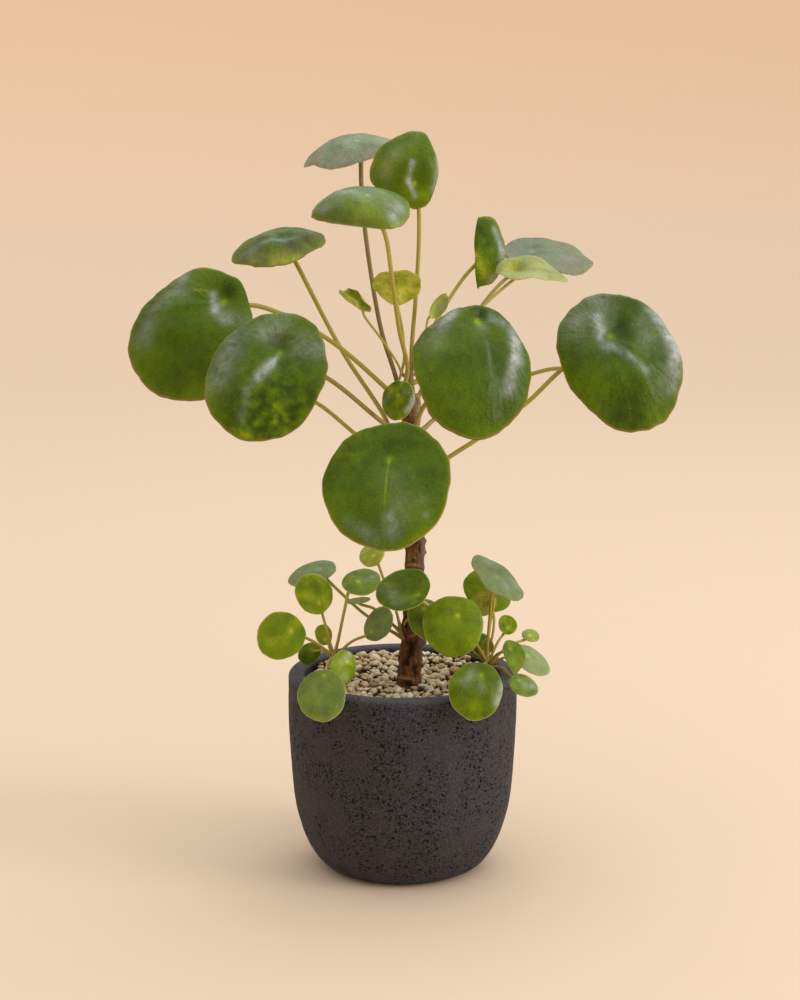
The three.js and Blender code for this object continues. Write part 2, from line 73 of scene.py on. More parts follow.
class Wire:  # a socket that can be reckoned with
    def __init__(self, shader, socket):
        self.shader = shader
        self.socket = socket

    def maths(self, operation, *values):
        return self.shader.node("Math", {"operation": operation}, dict(enumerate(values)))

    def __add__(self, other):
        return self.maths("ADD", self, other)

    def __radd__(self, other):
        return self.maths("ADD", other, self)

    def __sub__(self, other):
        return self.maths("SUBTRACT", self, other)

    def __rsub__(self, other):
        return self.maths("SUBTRACT", other, self)

    def __mul__(self, other):
        return self.maths("MULTIPLY", self, other)

    def __rmul__(self, other):
        return self.maths("MULTIPLY", other, self)

    def __pow__(self, other):
        return self.maths("POWER", self, other)

    def __abs__(self):
        return self.maths("ABSOLUTE", self)

    def step(self, low, high):  # 0 below low, 1 above high
        sockets = {"Value": self, "From Min": low, "From Max": high}
        return self.shader.node("MapRange", {"interpolation_type": "SMOOTHSTEP"}, sockets)


class Shader:
    def __init__(self, name, world=None):
        self.material = world or bpy.data.materials.new(name)
        self.material.use_nodes = True
        self.tree = self.material.node_tree
        self.surface = self.tree.nodes["Background" if world else "Principled BSDF"]

    def node(self, kind, settings=None, sockets=None, output=0):
        node = self.tree.nodes.new("ShaderNode" + kind)
        for name, value in (settings or {}).items():
            if name == "stops":
                ends = node.color_ramp.elements
                ends[0].position, ends[0].color = value[0]
                ends[1].position, ends[1].color = value[-1]
                for place, color in value[1:-1]:
                    ends.new(place).color = color
            else:
                setattr(node, name, value)
        self.fill(node, sockets or {})
        return Wire(self, node.outputs[output])

    def fill(self, node, sockets):
        for name, value in sockets.items():
            if isinstance(value, Wire):
                self.tree.links.new(value.socket, node.inputs[name])
            else:
                node.inputs[name].default_value = value

    def place(self):
        return self.node("TexCoord", output="Object")

    def value(self, name):  # a number painted on the mesh
        return self.node("Attribute", {"attribute_name": name}, output="Fac")

    def noise(self, where, scale, detail=3.0, roughness=0.55):
        sockets = {"Vector": where, "Scale": scale, "Detail": detail, "Roughness": roughness}
        return self.node("TexNoise", sockets=sockets)

    def cells(self, where, scale, feature="F1", output="Distance"):
        sockets = {"Vector": where, "Scale": scale}
        return self.node("TexVoronoi", {"feature": feature}, sockets, output)

    def vector(self, operation, *values):
        return self.node("VectorMath", {"operation": operation}, dict(enumerate(values)))

    def part(self, vector, axis):  # 0, 1 or 2
        return self.node("SeparateXYZ", sockets={"Vector": vector}, output=axis)

    def ramp(self, share, stops):
        return self.node("ValToRGB", {"stops": stops}, {"Fac": share})

    def mix(self, share, first, second):
        settings = {"data_type": "RGBA", "clamp_factor": True}
        return self.node("Mix", settings, {0: share, 6: first, 7: second}, output=2)

    def layers(self, color, coats):  # each coat is a share and the colour that it lays over the last
        for share, tint in coats:
            color = self.mix(share, color, tint)
        return color

    def bump(self, height, strength, distance):
        return self.node("Bump", sockets={"Height": height, "Strength": strength, "Distance": distance})

    def finish(self, **sockets):
        names = {"color": "Base Color", "roughness": "Roughness", "normal": "Normal",
                 "coat": "Coat Weight", "coatRoughness": "Coat Roughness", "specular": "Specular IOR Level"}
        self.fill(self.surface, {names[name]: value for name, value in sockets.items()})
        return self.material


# mesh helpers: everything grows in millimetres and finishPiece scales it

def curveThrough(points, spacing):
    # centripetal, through every point, then cut into even steps
    p = [Vector(point) for point in points]
    p = [2 * p[0] - p[1]] + p + [2 * p[-1] - p[-2]]
    dense = []
    for a, b, c, d in zip(p, p[1:], p[2:], p[3:]):
        k1 = (b - a).length ** 0.5
        k2 = k1 + (c - b).length ** 0.5
        k3 = k2 + (d - c).length ** 0.5
        for step in range(12):
            k = lerp(k1, k2, step / 12)
            ab = a.lerp(b, k / k1)
            bc = b.lerp(c, (k - k1) / (k2 - k1))
            cd = c.lerp(d, (k - k2) / (k3 - k2))
            abc = ab.lerp(bc, k / k2)
            bcd = bc.lerp(cd, (k - k1) / (k3 - k1))
            dense.append(abc.lerp(bcd, (k - k1) / (k2 - k1)))
    dense.append(p[-2])
    lengths = [0.0]
    for a, b in zip(dense, dense[1:]):
        lengths.append(lengths[-1] + (b - a).length)
    count = max(4, round(lengths[-1] / spacing))
    line = []
    i = 0
    for step in range(count + 1):
        goal = lengths[-1] * step / count
        while i < len(dense) - 2 and lengths[i + 1] < goal:
            i += 1
        span = max(1e-9, lengths[i + 1] - lengths[i])
        line.append(dense[i].lerp(dense[i + 1], min(1.0, (goal - lengths[i]) / span)))
    return line


def extrudeRing(bm, edges):
    # grows a second loop from a loop of edges; returns its vertices and its edges
    grown = bmesh.ops.extrude_edge_only(bm, edges=edges)["geom"]
    ring = [item for item in grown if isinstance(item, bmesh.types.BMVert)]
    members = set(ring)
    return ring, [item for item in grown if isinstance(item, bmesh.types.BMEdge)
                  and item.verts[0] in members and item.verts[1] in members]


def growTube(bm, line, radiusAt, sides):
    # radiusAt takes how far along the tube a ring is, from 0 to 1; returns the rings
    heading = (line[1] - line[0]).normalized()
    ring = bmesh.ops.create_circle(bm, segments=sides, radius=radiusAt(0), cap_ends=True)["verts"]
    upright = heading.to_track_quat("Z", "Y").to_matrix().to_4x4()
    bmesh.ops.transform(bm, matrix=Matrix.Translation(line[0]) @ upright, verts=ring)
    edges = list({edge for vert in ring for edge in vert.link_edges})
    rings = [ring]
    for i in range(1, len(line)):
        ring, edges = extrudeRing(bm, edges)
        ahead = (line[min(i + 1, len(line) - 1)] - line[i - 1]).normalized()
        swing = heading.rotation_difference(ahead).to_matrix().to_4x4()
        size = radiusAt(i / (len(line) - 1)) / radiusAt((i - 1) / (len(line) - 1))
        step = (Matrix.Translation(line[i]) @ swing @ Matrix.Scale(size, 4)
                @ Matrix.Translation(-line[i - 1]))
        bmesh.ops.transform(bm, matrix=step, verts=ring)
        heading = ahead
        rings.append(ring)
    bmesh.ops.edgeloop_fill(bm, edges=edges)
    return rings


def lathe(bm, profile, steps):
    # turns points (x, 0, z) about the z axis into a closed round of faces
    verts = [bm.verts.new(point) for point in profile]
    edges = [bm.edges.new(pair) for pair in zip(verts, verts[1:])]
    bmesh.ops.spin(bm, geom=verts + edges, axis=(0, 0, 1), steps=steps, angle=2 * math.pi, use_merge=True)


def meshFrom(bm, name, *materials):
    for face in bm.faces:
        face.smooth = True
    mesh = bpy.data.meshes.new(name)
    bm.to_mesh(mesh)
    bm.free()
    for material in materials:
        mesh.materials.append(material)
    return mesh


def addObject(name, data):
    made = bpy.data.objects.new(name, data)
    bpy.context.scene.collection.objects.link(made)
    return made


patterns = {}  # plain shapes that are made once and copied many times


def stampPattern(bm, name, create):
    # adds a copy of the plain shape that create makes, and returns its vertices
    if name not in patterns:
        plain = bmesh.new()
        create(plain)
        patterns[name] = meshFrom(plain, name)
    before = len(bm.verts)
    bm.from_mesh(patterns[name])
    bm.verts.ensure_lookup_table()
    return bm.verts[before:]


def clearPatterns():
    for mesh in patterns.values():
        bpy.data.meshes.remove(mesh)


def finishPiece(bm, name, materials, slot, *nodes):
    bmesh.ops.scale(bm, vec=(mm, mm, mm), verts=bm.verts)
    bmesh.ops.recalc_face_normals(bm, faces=bm.faces)
    piece = addObject(name, meshFrom(bm, name, *materials))
    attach(piece, "root")
    if nodes:
        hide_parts(*nodes)
    return piece


# camera, floor and light

camera = {"place": (-0.0015, -1.3, 0.4671), "pitch": 10.427, "lens": 78.96}
studio = {
    "floor": rgb(240, 211, 181),
    "clouds": rgb(226, 200, 172),
    "wall": rgb(248, 207, 167),
    "radius": 2.4,
    "curve": 3.0,
    "lamps": [  # place, size, watts, colour
        ((2.1, -0.8, 0.8), 1.0, 20, (1.0, 0.99, 1.0)),
        ((0.3, 0.9, 1.7), 1.0, 4, (0.92, 0.97, 1.0)),
    ],
    "aim": (0, 0, 0.26),  # what the lamps face
    "sun": ((0.06, -0.3, 1.0), 0.9, 130),  # comes from, strength, degrees wide
    "sky": (0.9, 0.96, 1.0, 1.0),
    "skyBright": ((0.34, 0.15, 0.92), 0.15, 0.82),  # toward the bright side, its low and high strength
}


def floorMaterial():
    shader = Shader("paleFloor")
    place = shader.place()
    color = shader.layers(studio["floor"], [
        (shader.noise(place, 40.0) * 0.04, studio["clouds"]),
        (shader.part(place, 2).step(0.0, 0.7), studio["wall"]),
    ])
    return shader.finish(color=color, roughness=0.9, specular=0.1)


def makeStudio():
    bm = bmesh.new()
    profile = [(0, 0, 0), (studio["radius"], 0, 0)]
    for i in range(1, 21):  # the floor curves up into a low wall all round
        angle = math.radians(3 * i)
        profile.append((studio["radius"] + studio["curve"] * math.sin(angle), 0,
                        studio["curve"] * (1 - math.cos(angle))))
    lathe(bm, profile, 64)
    bmesh.ops.remove_doubles(bm, verts=bm.verts, dist=1e-5)
    floor = addObject("studioFloor", meshFrom(bm, "studioFloor", floorMaterial()))
    for i, (place, size, watts, color) in enumerate(studio["lamps"]):
        light = bpy.data.lights.new(f"softbox{i}", "AREA")
        light.size = size
        light.energy = watts
        light.color = color
        lamp = addObject(light.name, light)
        lamp.location = place
        aim = Vector(studio["aim"]) - Vector(place)
        lamp.rotation_euler = aim.to_track_quat("-Z", "Y").to_euler()
    place, strength, wide = studio["sun"]
    sun = bpy.data.lights.new("broadLight", "SUN")
    sun.energy = strength
    sun.angle = math.radians(wide)
    addObject("broadLight", sun).rotation_euler = Vector(place).to_track_quat("Z", "Y").to_euler()
    bpy.context.scene.world = bpy.data.worlds.new("studioSky")
    sky = Shader("studioSky", bpy.context.scene.world)
    toward, low, high = studio["skyBright"]
    direction = sky.node("TexCoord")
    facing = sky.node("VectorMath", {"operation": "DOT_PRODUCT"}, {0: direction, 1: toward}, output=1)
    glow = facing.step(-0.15, 0.95)
    sky.fill(sky.surface, {"Color": studio["sky"], "Strength": glow * (high - low) + low})
    view = bpy.data.cameras.new("camera")
    view.lens = camera["lens"]
    viewer = addObject("camera", view)
    viewer.location = camera["place"]
    viewer.rotation_euler = (math.radians(90 - camera["pitch"]), 0, 0)
    bpy.context.scene.camera = viewer
    bpy.context.scene.view_settings.view_transform = "Standard"


makeStudio()
print("studio ready")


# pot

pot = {
    "outside": [(42, 0), (50, 4), (58.5, 16), (65.3, 37), (68.6, 66), (70, 100), (70, 119)],
    "inside": [(60, 119), (59.4, 96), (57, 58), (51, 30), (36, 15)],
    "lip": 3,  # radius of the rim's two round edges
    "floor": 12,
    "foot": (36, 0.6, 37.5),  # the hollow under it: radius, height and radius where it stands
    "around": 240,
    "wobble": 0.25,  # hand-made unevenness
    "clay": rgb(53, 51.5, 56),
    "grain": rgb(91, 90, 95),
    "shade": rgb(42, 39, 40),
    "pits": rgb(9, 4, 2),
    "pitSizes": [(230.0, 0.35, 0.26), (380.0, 0.3, 0.31), (650.0, 0.35, 0.35)],  # per metre, left out, size
}


def stonewareMaterial():
    shader = Shader("charcoalStoneware")
    place = shader.place()
    cloud = shader.noise(place, 22.0, 4.0)
    grit = shader.noise(place, 640.0, 3.0, 0.75)
    sand = shader.noise(place, 1500.0, 2.0, 0.7)
    warp = shader.node("TexNoise", sockets={"Vector": place, "Scale": 420.0, "Detail": 2.0}, output=1)
    bent = shader.vector("MULTIPLY_ADD", warp, (0.0022,) * 3, place)
    flat = shader.node("Mapping", sockets={"Vector": bent, "Scale": (1.0, 1.0, 1.25)})
    crowd = shader.noise(place, 48.0, 2.0).step(0.3, 0.7)
    pits = 0.0
    for scale, keep, size in pot["pitSizes"]:
        pick = shader.node("SeparateColor", sockets={"Color": shader.cells(flat, scale, output="Color")})
        kept = pick.step(keep, keep + 0.02) * crowd.step(pick * 0.35, pick * 0.35 + 0.2)
        pits = (1 - shader.cells(flat, scale).step(size * 0.82, size)) * kept + pits
    pits = pits.step(0.0, 0.6)
    edge = shader.value("rim")
    color = shader.layers(pot["clay"], [
        (cloud.step(0.3, 0.75) * 0.35, pot["shade"]),
        (grit.step(0.5, 0.68) * 0.5, pot["grain"]),
        (grit.step(0.5, 0.36) * 0.55, pot["shade"]),
        (sand.step(0.5, 0.64) * 0.35, pot["grain"]),
        (sand.step(0.5, 0.36) * 0.4, pot["pits"]),
        (edge * 0.4, pot["grain"]),
        (pits * (1 - edge * 0.7) * 0.95, pot["pits"]),
    ])
    height = grit * 0.5 + sand * 0.25 - pits * 1.6
    normal = shader.bump(height, 0.55, 0.0005)
    roughness = 0.68 + grit * 0.15 - edge * 0.12 + pits * 0.2
    return shader.finish(color=color, roughness=roughness, normal=normal, specular=0.35)


def makePot():
    bm = bmesh.new()
    outside = curveThrough([(x, 0, z) for x, z in pot["outside"]], 1.1)
    inside = curveThrough([(x, 0, z) for x, z in pot["inside"]], 2.0)
    outer, height = pot["outside"][-1]
    lip = []
    for centre, first in ((outer - pot["lip"], 0), (pot["inside"][0][0] + pot["lip"], 90)):
        for i in range(7):
            angle = math.radians(first + 90 * i / 6)
            lip.append(Vector((centre + pot["lip"] * math.cos(angle), 0,
                               height + pot["lip"] * math.sin(angle))))
    hollow, rise, foot = pot["foot"]
    profile = [Vector((0, 0, rise)), Vector((hollow, 0, rise)), Vector((foot, 0, 0))]
    profile += outside + lip[1:-1] + inside + [Vector((0, 0, pot["floor"]))]
    lathe(bm, profile, pot["around"])
    bmesh.ops.remove_doubles(bm, verts=bm.verts, dist=1e-4)
    rim = bm.verts.layers.float.new("rim")
    for vert in bm.verts:
        reach = math.hypot(vert.co.x, vert.co.y)
        vert[rim] = smooth(118.5, 121.2, vert.co.z) * smooth(57, 60, reach)
        if reach < 1 or vert.co.z < 0.3:
            continue
        inward = pot["wobble"] * (1 + lumpy(vert.co, 28)) + 0.12 * lumpy(vert.co, 5)
        vert.co.x -= inward * vert.co.x / reach
        vert.co.y -= inward * vert.co.y / reach
    return finishPiece(bm, "stonewarePot", [stonewareMaterial()], "stoneware", "pot")


makePot()
print("pot ready")


# soil and pumice

ground = {
    "radius": 58.6,
    "soilRadius": 59.2,
    "soilRings": 60,
    "soilSides": 96,
    "soilFoot": 110.4,
    "soilTop": 113.2,
    "grainTop": 114.6,
    "ceiling": 121.4,
    "sizes": [(4.9, 16), (4.0, 100), (3.1, 320), (2.2, 700), (1.4, 900)],  # radius, how many are tried
    "overlap": 0.8,
    "seed": 11,
}
stems = [(4, -10, 7.0), (-43, -10, 2.8), (49.6, -5, 2.9)]  # x, y and clear radius at the ground


def soilMaterial():
    shader = Shader("darkSoil")
    place = shader.place()
    crumbs = shader.noise(place, 420.0, 5.0, 0.7)
    fibres = shader.noise(place, 1300.0, 2.0)
    color = shader.layers(rgb(38, 24, 15), [
        (crumbs.step(0.35, 0.7), rgb(104, 74, 50)),
        (fibres.step(0.62, 0.72) * 0.5, rgb(140, 112, 80)),
    ])
    normal = shader.bump(crumbs + fibres * 0.3, 0.9, 0.0012)
    return shader.finish(color=color, roughness=0.95, normal=normal, specular=0.15)


def pumiceMaterial():
    shader = Shader("pumiceStone")
    place = shader.place()
    blotch = shader.noise(place, 300.0, 4.0)
    pores = shader.cells(place, 1500.0)
    fine = shader.noise(place, 2600.0, 3.0, 0.7)
    tints = shader.ramp(shader.value("tint"), [
        (0.0, rgb(208, 172, 122)), (0.3, rgb(240, 210, 162)),
        (0.7, rgb(255, 232, 192)), (1.0, rgb(255, 246, 222))])
    moss = shader.value("moss") * shader.noise(place, 520.0, 3.0).step(0.45, 0.6)
    color = shader.layers(tints, [
        (blotch.step(0.5, 0.75) * 0.3, rgb(186, 148, 100)),
        ((1 - pores.step(0.1, 0.34)) * 0.36, rgb(116, 84, 50)),
        # painted shade under and between the grains, with a little dirt
        (shader.value("dirt") * (0.6 + blotch * 0.5), rgb(70, 44, 20)),
        (moss * 0.8, rgb(112, 122, 42)),
    ])
    normal = shader.bump(pores * 0.5 + fine * 0.6 + blotch, 0.8, 0.0007)
    return shader.finish(color=color, roughness=0.92, normal=normal, specular=0.15)


def groundHeight(x, y):
    mound = 1.4 * bell(math.hypot(x - 4, y + 10), 26) + 4.6 * smooth(-5, 48, y) + 1.2 * smooth(20, 52, -x)
    return mound + 1.3 * lumpy((x, y, 0), 15)


def makeSoil():
    bm = bmesh.new()
    middle = 0.5  # radius of the first ring
    bmesh.ops.create_circle(bm, segments=ground["soilSides"], radius=middle, cap_ends=True, cap_tris=True)
    edges = [edge for edge in bm.edges if not any(vert.co.length < 0.1 for vert in edge.verts)]
    for i in range(ground["soilRings"]):
        ring, edges = extrudeRing(bm, edges)
        reach = lerp(middle, ground["soilRadius"], (i + 1) / ground["soilRings"])
        for vert in ring:
            vert.co = vert.co.normalized() * reach
    skirt, edges = extrudeRing(bm, edges)
    for vert in bm.verts:
        x, y = vert.co.x, vert.co.y
        crumbs = 0.7 * lumpy((x, y, 0), 2.4) + 0.4 * lumpy((x, y, 5), 1.1)
        vert.co.z = ground["soilTop"] + groundHeight(x, y) * 0.8 + crumbs
    for vert in skirt:
        vert.co.z = ground["soilFoot"]
    bmesh.ops.edgeloop_fill(bm, edges=edges)
    return finishPiece(bm, "soilCrumbs", [soilMaterial()], "soil", "pumice_gravel")


def growGrain(bm, layers, centre, radius, draw, tint):
    made = stampPattern(bm, "grain", lambda plain: bmesh.ops.create_icosphere(
        plain, subdivisions=2, radius=1))
    stretch = Vector((draw.uniform(0.85, 1.15), draw.uniform(0.75, 1.0), draw.uniform(0.62, 0.85)))
    spin = Matrix.Rotation(draw.uniform(0, 6.28), 3, "Z") @ Matrix.Rotation(draw.uniform(-0.5, 0.5), 3, "X")
    seed = draw.uniform(0, 500)
    cuts = [Vector((draw.gauss(0, 1), draw.gauss(0, 1), draw.gauss(0, 1))).normalized() for i in range(5)]
    for vert in made:
        out = vert.co.normalized()
        crease = smooth(0.2, 0.0, abs(lumpy(out, 0.62, seed + 9)))
        reach = 1.04 + 0.34 * lumpy(out, 0.7, seed) + 0.22 * lumpy(out, 0.36, seed) - 0.16 * crease
        for cut in cuts:  # worn facets
            reach -= 0.4 * max(0.0, out.dot(cut) - 0.72)
        body = Vector((out.x * stretch.x, out.y * stretch.y, out.z * stretch.z)) * reach
        vert.co = centre + spin @ body * radius
        vert[layers["tint"]] = tint
        # painted shade on each grain's underside, in its creases and near the trunk, over a little dirt
        low = smooth(0.45, -0.25, out.z)
        front = bell(math.hypot(vert.co.x + 22, vert.co.y + 44), 13)
        byTrunk = bell(math.hypot(centre.x - 4, centre.y + 10), 15)
        vert[layers["dirt"]] = min(1.0, 0.02 + 0.95 * low + 0.3 * byTrunk + 0.5 * crease)
        vert[layers["moss"]] = front + 0.35 * bell(math.hypot(vert.co.x - 30, vert.co.y + 35), 14)


def makePumice():
    draw = random.Random(ground["seed"])
    bm = bmesh.new()
    layers = {name: bm.verts.layers.float.new(name) for name in ("tint", "dirt", "moss")}
    laid = []
    for radius, tries in ground["sizes"]:
        for i in range(tries):
            size = radius * draw.uniform(0.85, 1.15)
            angle = draw.uniform(0, 2 * math.pi)
            reach = (ground["radius"] - size) * math.sqrt(draw.random())
            x, y = reach * math.cos(angle), reach * math.sin(angle)
            if any(math.hypot(x - sx, y - sy) < clear + size * 0.8 for sx, sy, clear in stems):
                continue
            rest = ground["grainTop"] + groundHeight(x, y) - size * 0.35
            ceiling = ground["ceiling"] + 2.0 * smooth(0, 45, y) - size * 0.8
            lift = 0.0
            clash = False
            for ox, oy, oz, other in laid:
                near = math.hypot(x - ox, y - oy)
                if near < ground["overlap"] * (size + other):
                    climb = oz + math.sqrt(max(0.0, (size + other) ** 2 * 0.62 - near ** 2)) - rest
                    lift = max(lift, climb)
                    clash = clash or near < 0.3 * (size + other)
            if clash or lift > 0.9 * size or rest + lift > ceiling:
                continue
            laid.append((x, y, rest + lift, size))
            growGrain(bm, layers, Vector((x, y, rest + lift)), size, draw, draw.random())
    print("pumice grains", len(laid))
    return finishPiece(bm, "pumiceGrains", [pumiceMaterial()], "pumice", "pumice_gravel")


makeSoil()
makePumice()
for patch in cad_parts["potting_mix"].material_slots:
    patch.material = soilMaterial()
print("ground ready")


# trunk

trunk = {  # stations: height, x, y and radius
    "stations": [(72, 3, -10, 5.2), (115, 4, -10, 6.7), (143, 5.8, -8, 6.2), (198, 7.5, -6, 5.6),
                 (235, 6.9, -4, 5.3), (271, 5.1, -2, 4.6), (289, 4.5, 0, 3.8), (306, 3.5, 0, 2)],
    "sides": 88,
    "step": 0.85,
    "scars": (123.5, 286, 8.6, 137.5, 241),  # first, last, pitch, turn and where the first one faces
    "scarHeight": 1.2,
    "fissure": 0.6,
    "twig": [(3.5, -11, 146), (1.2, -13.6, 150.5), (0.2, -14.6, 154), (0.6, -14.8, 158)],
    "twigRadius": (2.1, 0.4),  # at its foot and its tip
}


def trunkAt(height):
    # the centre and radius at a height, on a smooth curve through the stations
    rows = trunk["stations"]
    height = min(rows[-1][0], max(rows[0][0], height))
    i = max(k for k in range(len(rows) - 1) if rows[k][0] <= height)
    a, b, c, d = (rows[min(max(k, 0), len(rows) - 1)] for k in (i - 1, i, i + 1, i + 2))
    share = (height - b[0]) / (c[0] - b[0])
    found = []
    for k in (1, 2, 3):
        slopeB = (c[k] - a[k]) / max(1, c[0] - a[0])
        slopeC = (d[k] - b[k]) / max(1, d[0] - b[0])
        span = c[0] - b[0]
        found.append((2 * share ** 3 - 3 * share ** 2 + 1) * b[k]
                     + (share ** 3 - 2 * share ** 2 + share) * span * slopeB
                     + (3 * share ** 2 - 2 * share ** 3) * c[k]
                     + (share ** 3 - share ** 2) * span * slopeC)
    return found


def barkMaterial():
    shader = Shader("pileaBark")
    place = shader.place()
    long = shader.node("Mapping", sockets={"Vector": place, "Scale": (1.0, 1.0, 0.4)})
    ridges = shader.noise(long, 620.0, 5.0, 0.7)
    broad = shader.noise(long, 170.0, 3.0)
    flakes = shader.noise(place, 1500.0, 3.0, 0.7)
    browns = shader.ramp(ridges * 0.8 + broad * 0.4 - 0.1, [
        (0.32, rgb(36, 22, 10)), (0.44, rgb(94, 61, 31)),
        (0.58, rgb(126, 88, 50)), (0.72, rgb(176, 138, 94))])
    color = shader.layers(browns, [
        # painted light on the side facing the lamp
        (shader.value("grey") * (0.35 + broad), rgb(134, 122, 114)),
        (shader.value("young") * (0.5 + ridges * 0.6), rgb(128, 118, 52)),
        (shader.value("scar") * 0.95, rgb(184, 150, 110)),
        # painted shade in the cracks and scar pits, and the darker stub
        (shader.value("hollow"), rgb(26, 15, 8)),
    ])
    normal = shader.bump(ridges + flakes * 0.3, 1.0, 0.001)
    return shader.finish(color=color, roughness=0.82, normal=normal, specular=0.25)


def scarAt(height, angle):
    # each old leaf scar: a shield with a raised lower lip; returns swell, lip and pit
    first, last, pitch, turn, facing = trunk["scars"]
    nearest = round((height - first) / pitch)
    swell, lip, pit = 0.0, 0.0, 0.0
    for i in range(max(0, nearest - 1), nearest + 2):
        z = first + i * pitch
        if z > last:
            continue
        away = angleFrom(angle, facing + i * turn)
        drop = height - z + 1.6 * (away / 0.9) ** 2  # the lip bows downward in the middle
        swell += bell(drop, 3.2) * max(0.0, math.cos(away)) ** 3
        lip += bell(drop + 1.6, 0.65) * bell(away, 0.7)
        pit += bell(height - z - 0.8, 1.3) * bell(away, 0.3)
    return swell, lip, pit


knots = [  # height, azimuth (0 toward -Y, 90 toward +X), reach, radius
    (133, -80, 1.6, 4.0), (142, 84, 2.4, 2.4), (131, 38, 1.2, 2.6), (168, 96, 1.3, 2.0),
    (188, 62, 0.9, 1.8), (197, 90, 1.2, 1.2), (204, 84, 1.0, 1.4), (200, -90, 0.8, 1.2),
    (190, -86, 0.7, 1.0), (122, -30, 1.2, 3.0),
]
hollows = [  # cracks cut into the bark and painted dark inside as shade: height, azimuth, length, width, depth
    (139, -6, 8, 0.55, 2.2), (132, -26, 5.5, 0.34, 1.6), (126, 22, 5, 0.26, 1.0), (149, 28, 5, 0.2, 1.0),
    (178, 8, 7, 0.22, 0.8), (206, -12, 6, 0.2, 0.7), (201, 30, 5, 0.14, 0.6), (118, -6, 3, 0.3, 0.8),
    (150, 150, 9, 0.3, 1.2), (230, 200, 8, 0.25, 0.9), (247, 20, 5, 0.25, 0.8),
]


def makeTrunk():
    bm = bmesh.new()
    layers = {name: bm.verts.layers.float.new(name) for name in ("young", "scar", "grey", "hollow")}
    bottom, top = trunk["stations"][0][0], trunk["stations"][-1][0]
    count = round((top - bottom) / trunk["step"])
    heights = [lerp(bottom, top, i / count) for i in range(count + 1)]
    line = [Vector((*trunkAt(z)[:2], z)) for z in heights]
    rings = growTube(bm, line, lambda share: 1.0, trunk["sides"])
    for centre, ring in zip(line, rings):
        radius = trunkAt(centre.z)[2]
        for vert in ring:
            out = vert.co - centre
            out.z = 0
            out.normalize()
            angle = math.atan2(out.y, out.x)
            azimuth = math.atan2(out.x, -out.y)
            swell, lip, pit = scarAt(centre.z, angle)
            around = Vector((out.x * 6, out.y * 6, centre.z * 0.35))
            bark = trunk["fissure"] * (lumpy(around, 1.5) + 0.5 * lumpy(around, 0.6))
            bark = bark * smooth(300, 285, centre.z) + 0.5 * lumpy((out * 5) + centre, 5)
            reach = radius + trunk["scarHeight"] * (0.55 * swell + 0.45 * lip - 0.25 * pit) + bark
            for z, side, outward, size in knots:
                away = angleFrom(azimuth, side)
                reach += outward * bell(math.hypot((centre.z - z), away * radius), size)
            dark = 0.0
            for z, side, length, width, depth in hollows:
                away = angleFrom(azimuth, side)
                ragged = away + 0.18 * lumpy((0, 0, centre.z), 4, side)
                shade = bell(ragged, width) * smooth(length, length * 0.3, abs(centre.z - z))
                reach -= depth * shade
                dark = max(dark, shade)
            flare = 1.6 * smooth(132, 112, centre.z) * (1 + 0.6 * math.sin(3 * azimuth + 1))
            vert.co = centre + out * (reach + flare * 0.5)
            vert[layers["young"]] = smooth(272, 296, centre.z)
            vert[layers["scar"]] = min(1.0, lip)
            # painted shade in the cracks and in the scar pits
            vert[layers["hollow"]] = min(0.85, dark + 0.5 * pit * (1 - smooth(270, 290, centre.z)) * 1.6)
            # lighter and greyer on the side toward the right-hand lamp, low on the stem: painted light
            vert[layers["grey"]] = max(0.0, out.x) ** 2 * smooth(125, 150, centre.z) * 0.7
    twig = curveThrough(trunk["twig"], 0.7)
    for ring in growTube(bm, twig, lambda share: lerp(*trunk["twigRadius"], share), 16):
        for vert in ring:
            vert.co += vert.co.normalized() * 0.35 * lumpy(vert.co, 1.6)
            # the stub is darkened with the same layer
            vert[layers["hollow"]] = 0.35
    return finishPiece(bm, "woodyStem", [barkMaterial()], "woody_stem", "trunk")


makeTrunk()
print("trunk ready")


# leaves: t runs to the tip, s across the blade and h out of its upper face

def leafFrame(leaf):
    yaw, tilt = math.radians(leaf["yaw"]), math.radians(leaf["tilt"])
    normal = Vector((math.sin(yaw) * math.cos(tilt), -math.cos(yaw) * math.cos(tilt), math.sin(tilt)))
    tip = Vector((math.sin(yaw) * math.sin(tilt), -math.cos(yaw) * math.sin(tilt), -math.cos(tilt)))
    tip.rotate(Matrix.Rotation(math.radians(leaf["turn"]), 3, normal))
    side = normal.cross(tip)
    turned = Matrix((tip, side, normal)).transposed().to_4x4()
    return Matrix.Translation(leaf["navel"]) @ turned


plainLeaf = {  # what a leaf has unless its own row says otherwise
    "stalk": 1.5, "behind": 8, "thickness": (0.95, 0.62),
    "dimple": 0, "fold": 0, "ripple": 0, "waves": 5, "phase": 0, "bulges": (), "folds": (),
    "quilt": 0.5, "wrinkle": 0.12, "lumps": (),
    "tone": 0.36, "patches": (), "mottle": 0.05, "mottleAt": (), "bloom": 0, "blooms": (),
    "veins": 0.12, "streaky": 0.35, "streaksAt": (),
    "blush": 0.4, "pale": 0.15, "tan": 0, "tanFrom": 0.55, "purple": 0.1,
}
smallLeaf = {
    **plainLeaf, "stalk": 0.9, "thickness": (0.75, 0.5), "dome": 2, "quilt": 0.4, "wrinkle": 0.05,
    "tone": 0.46, "mottle": 0.1, "blush": 0.1, "pale": 0.6, "purple": 0.06,
}


def painted(marks, t, s):
    # adds up marks of t, s, radius and amount, and where it ends if a mark is a stroke
    total = 0.0
    for ct, cs, radius, amount, *end in marks:
        dt, ds = (end[0] - ct, end[1] - cs) if end else (0.0, 0.0)
        along = ((t - ct) * dt + (s - cs) * ds) / max(1e-6, dt * dt + ds * ds)
        along = min(1.0, max(0.0, along))
        total += amount * bell(math.hypot(t - ct - along * dt, s - cs - along * ds), radius)
    return total


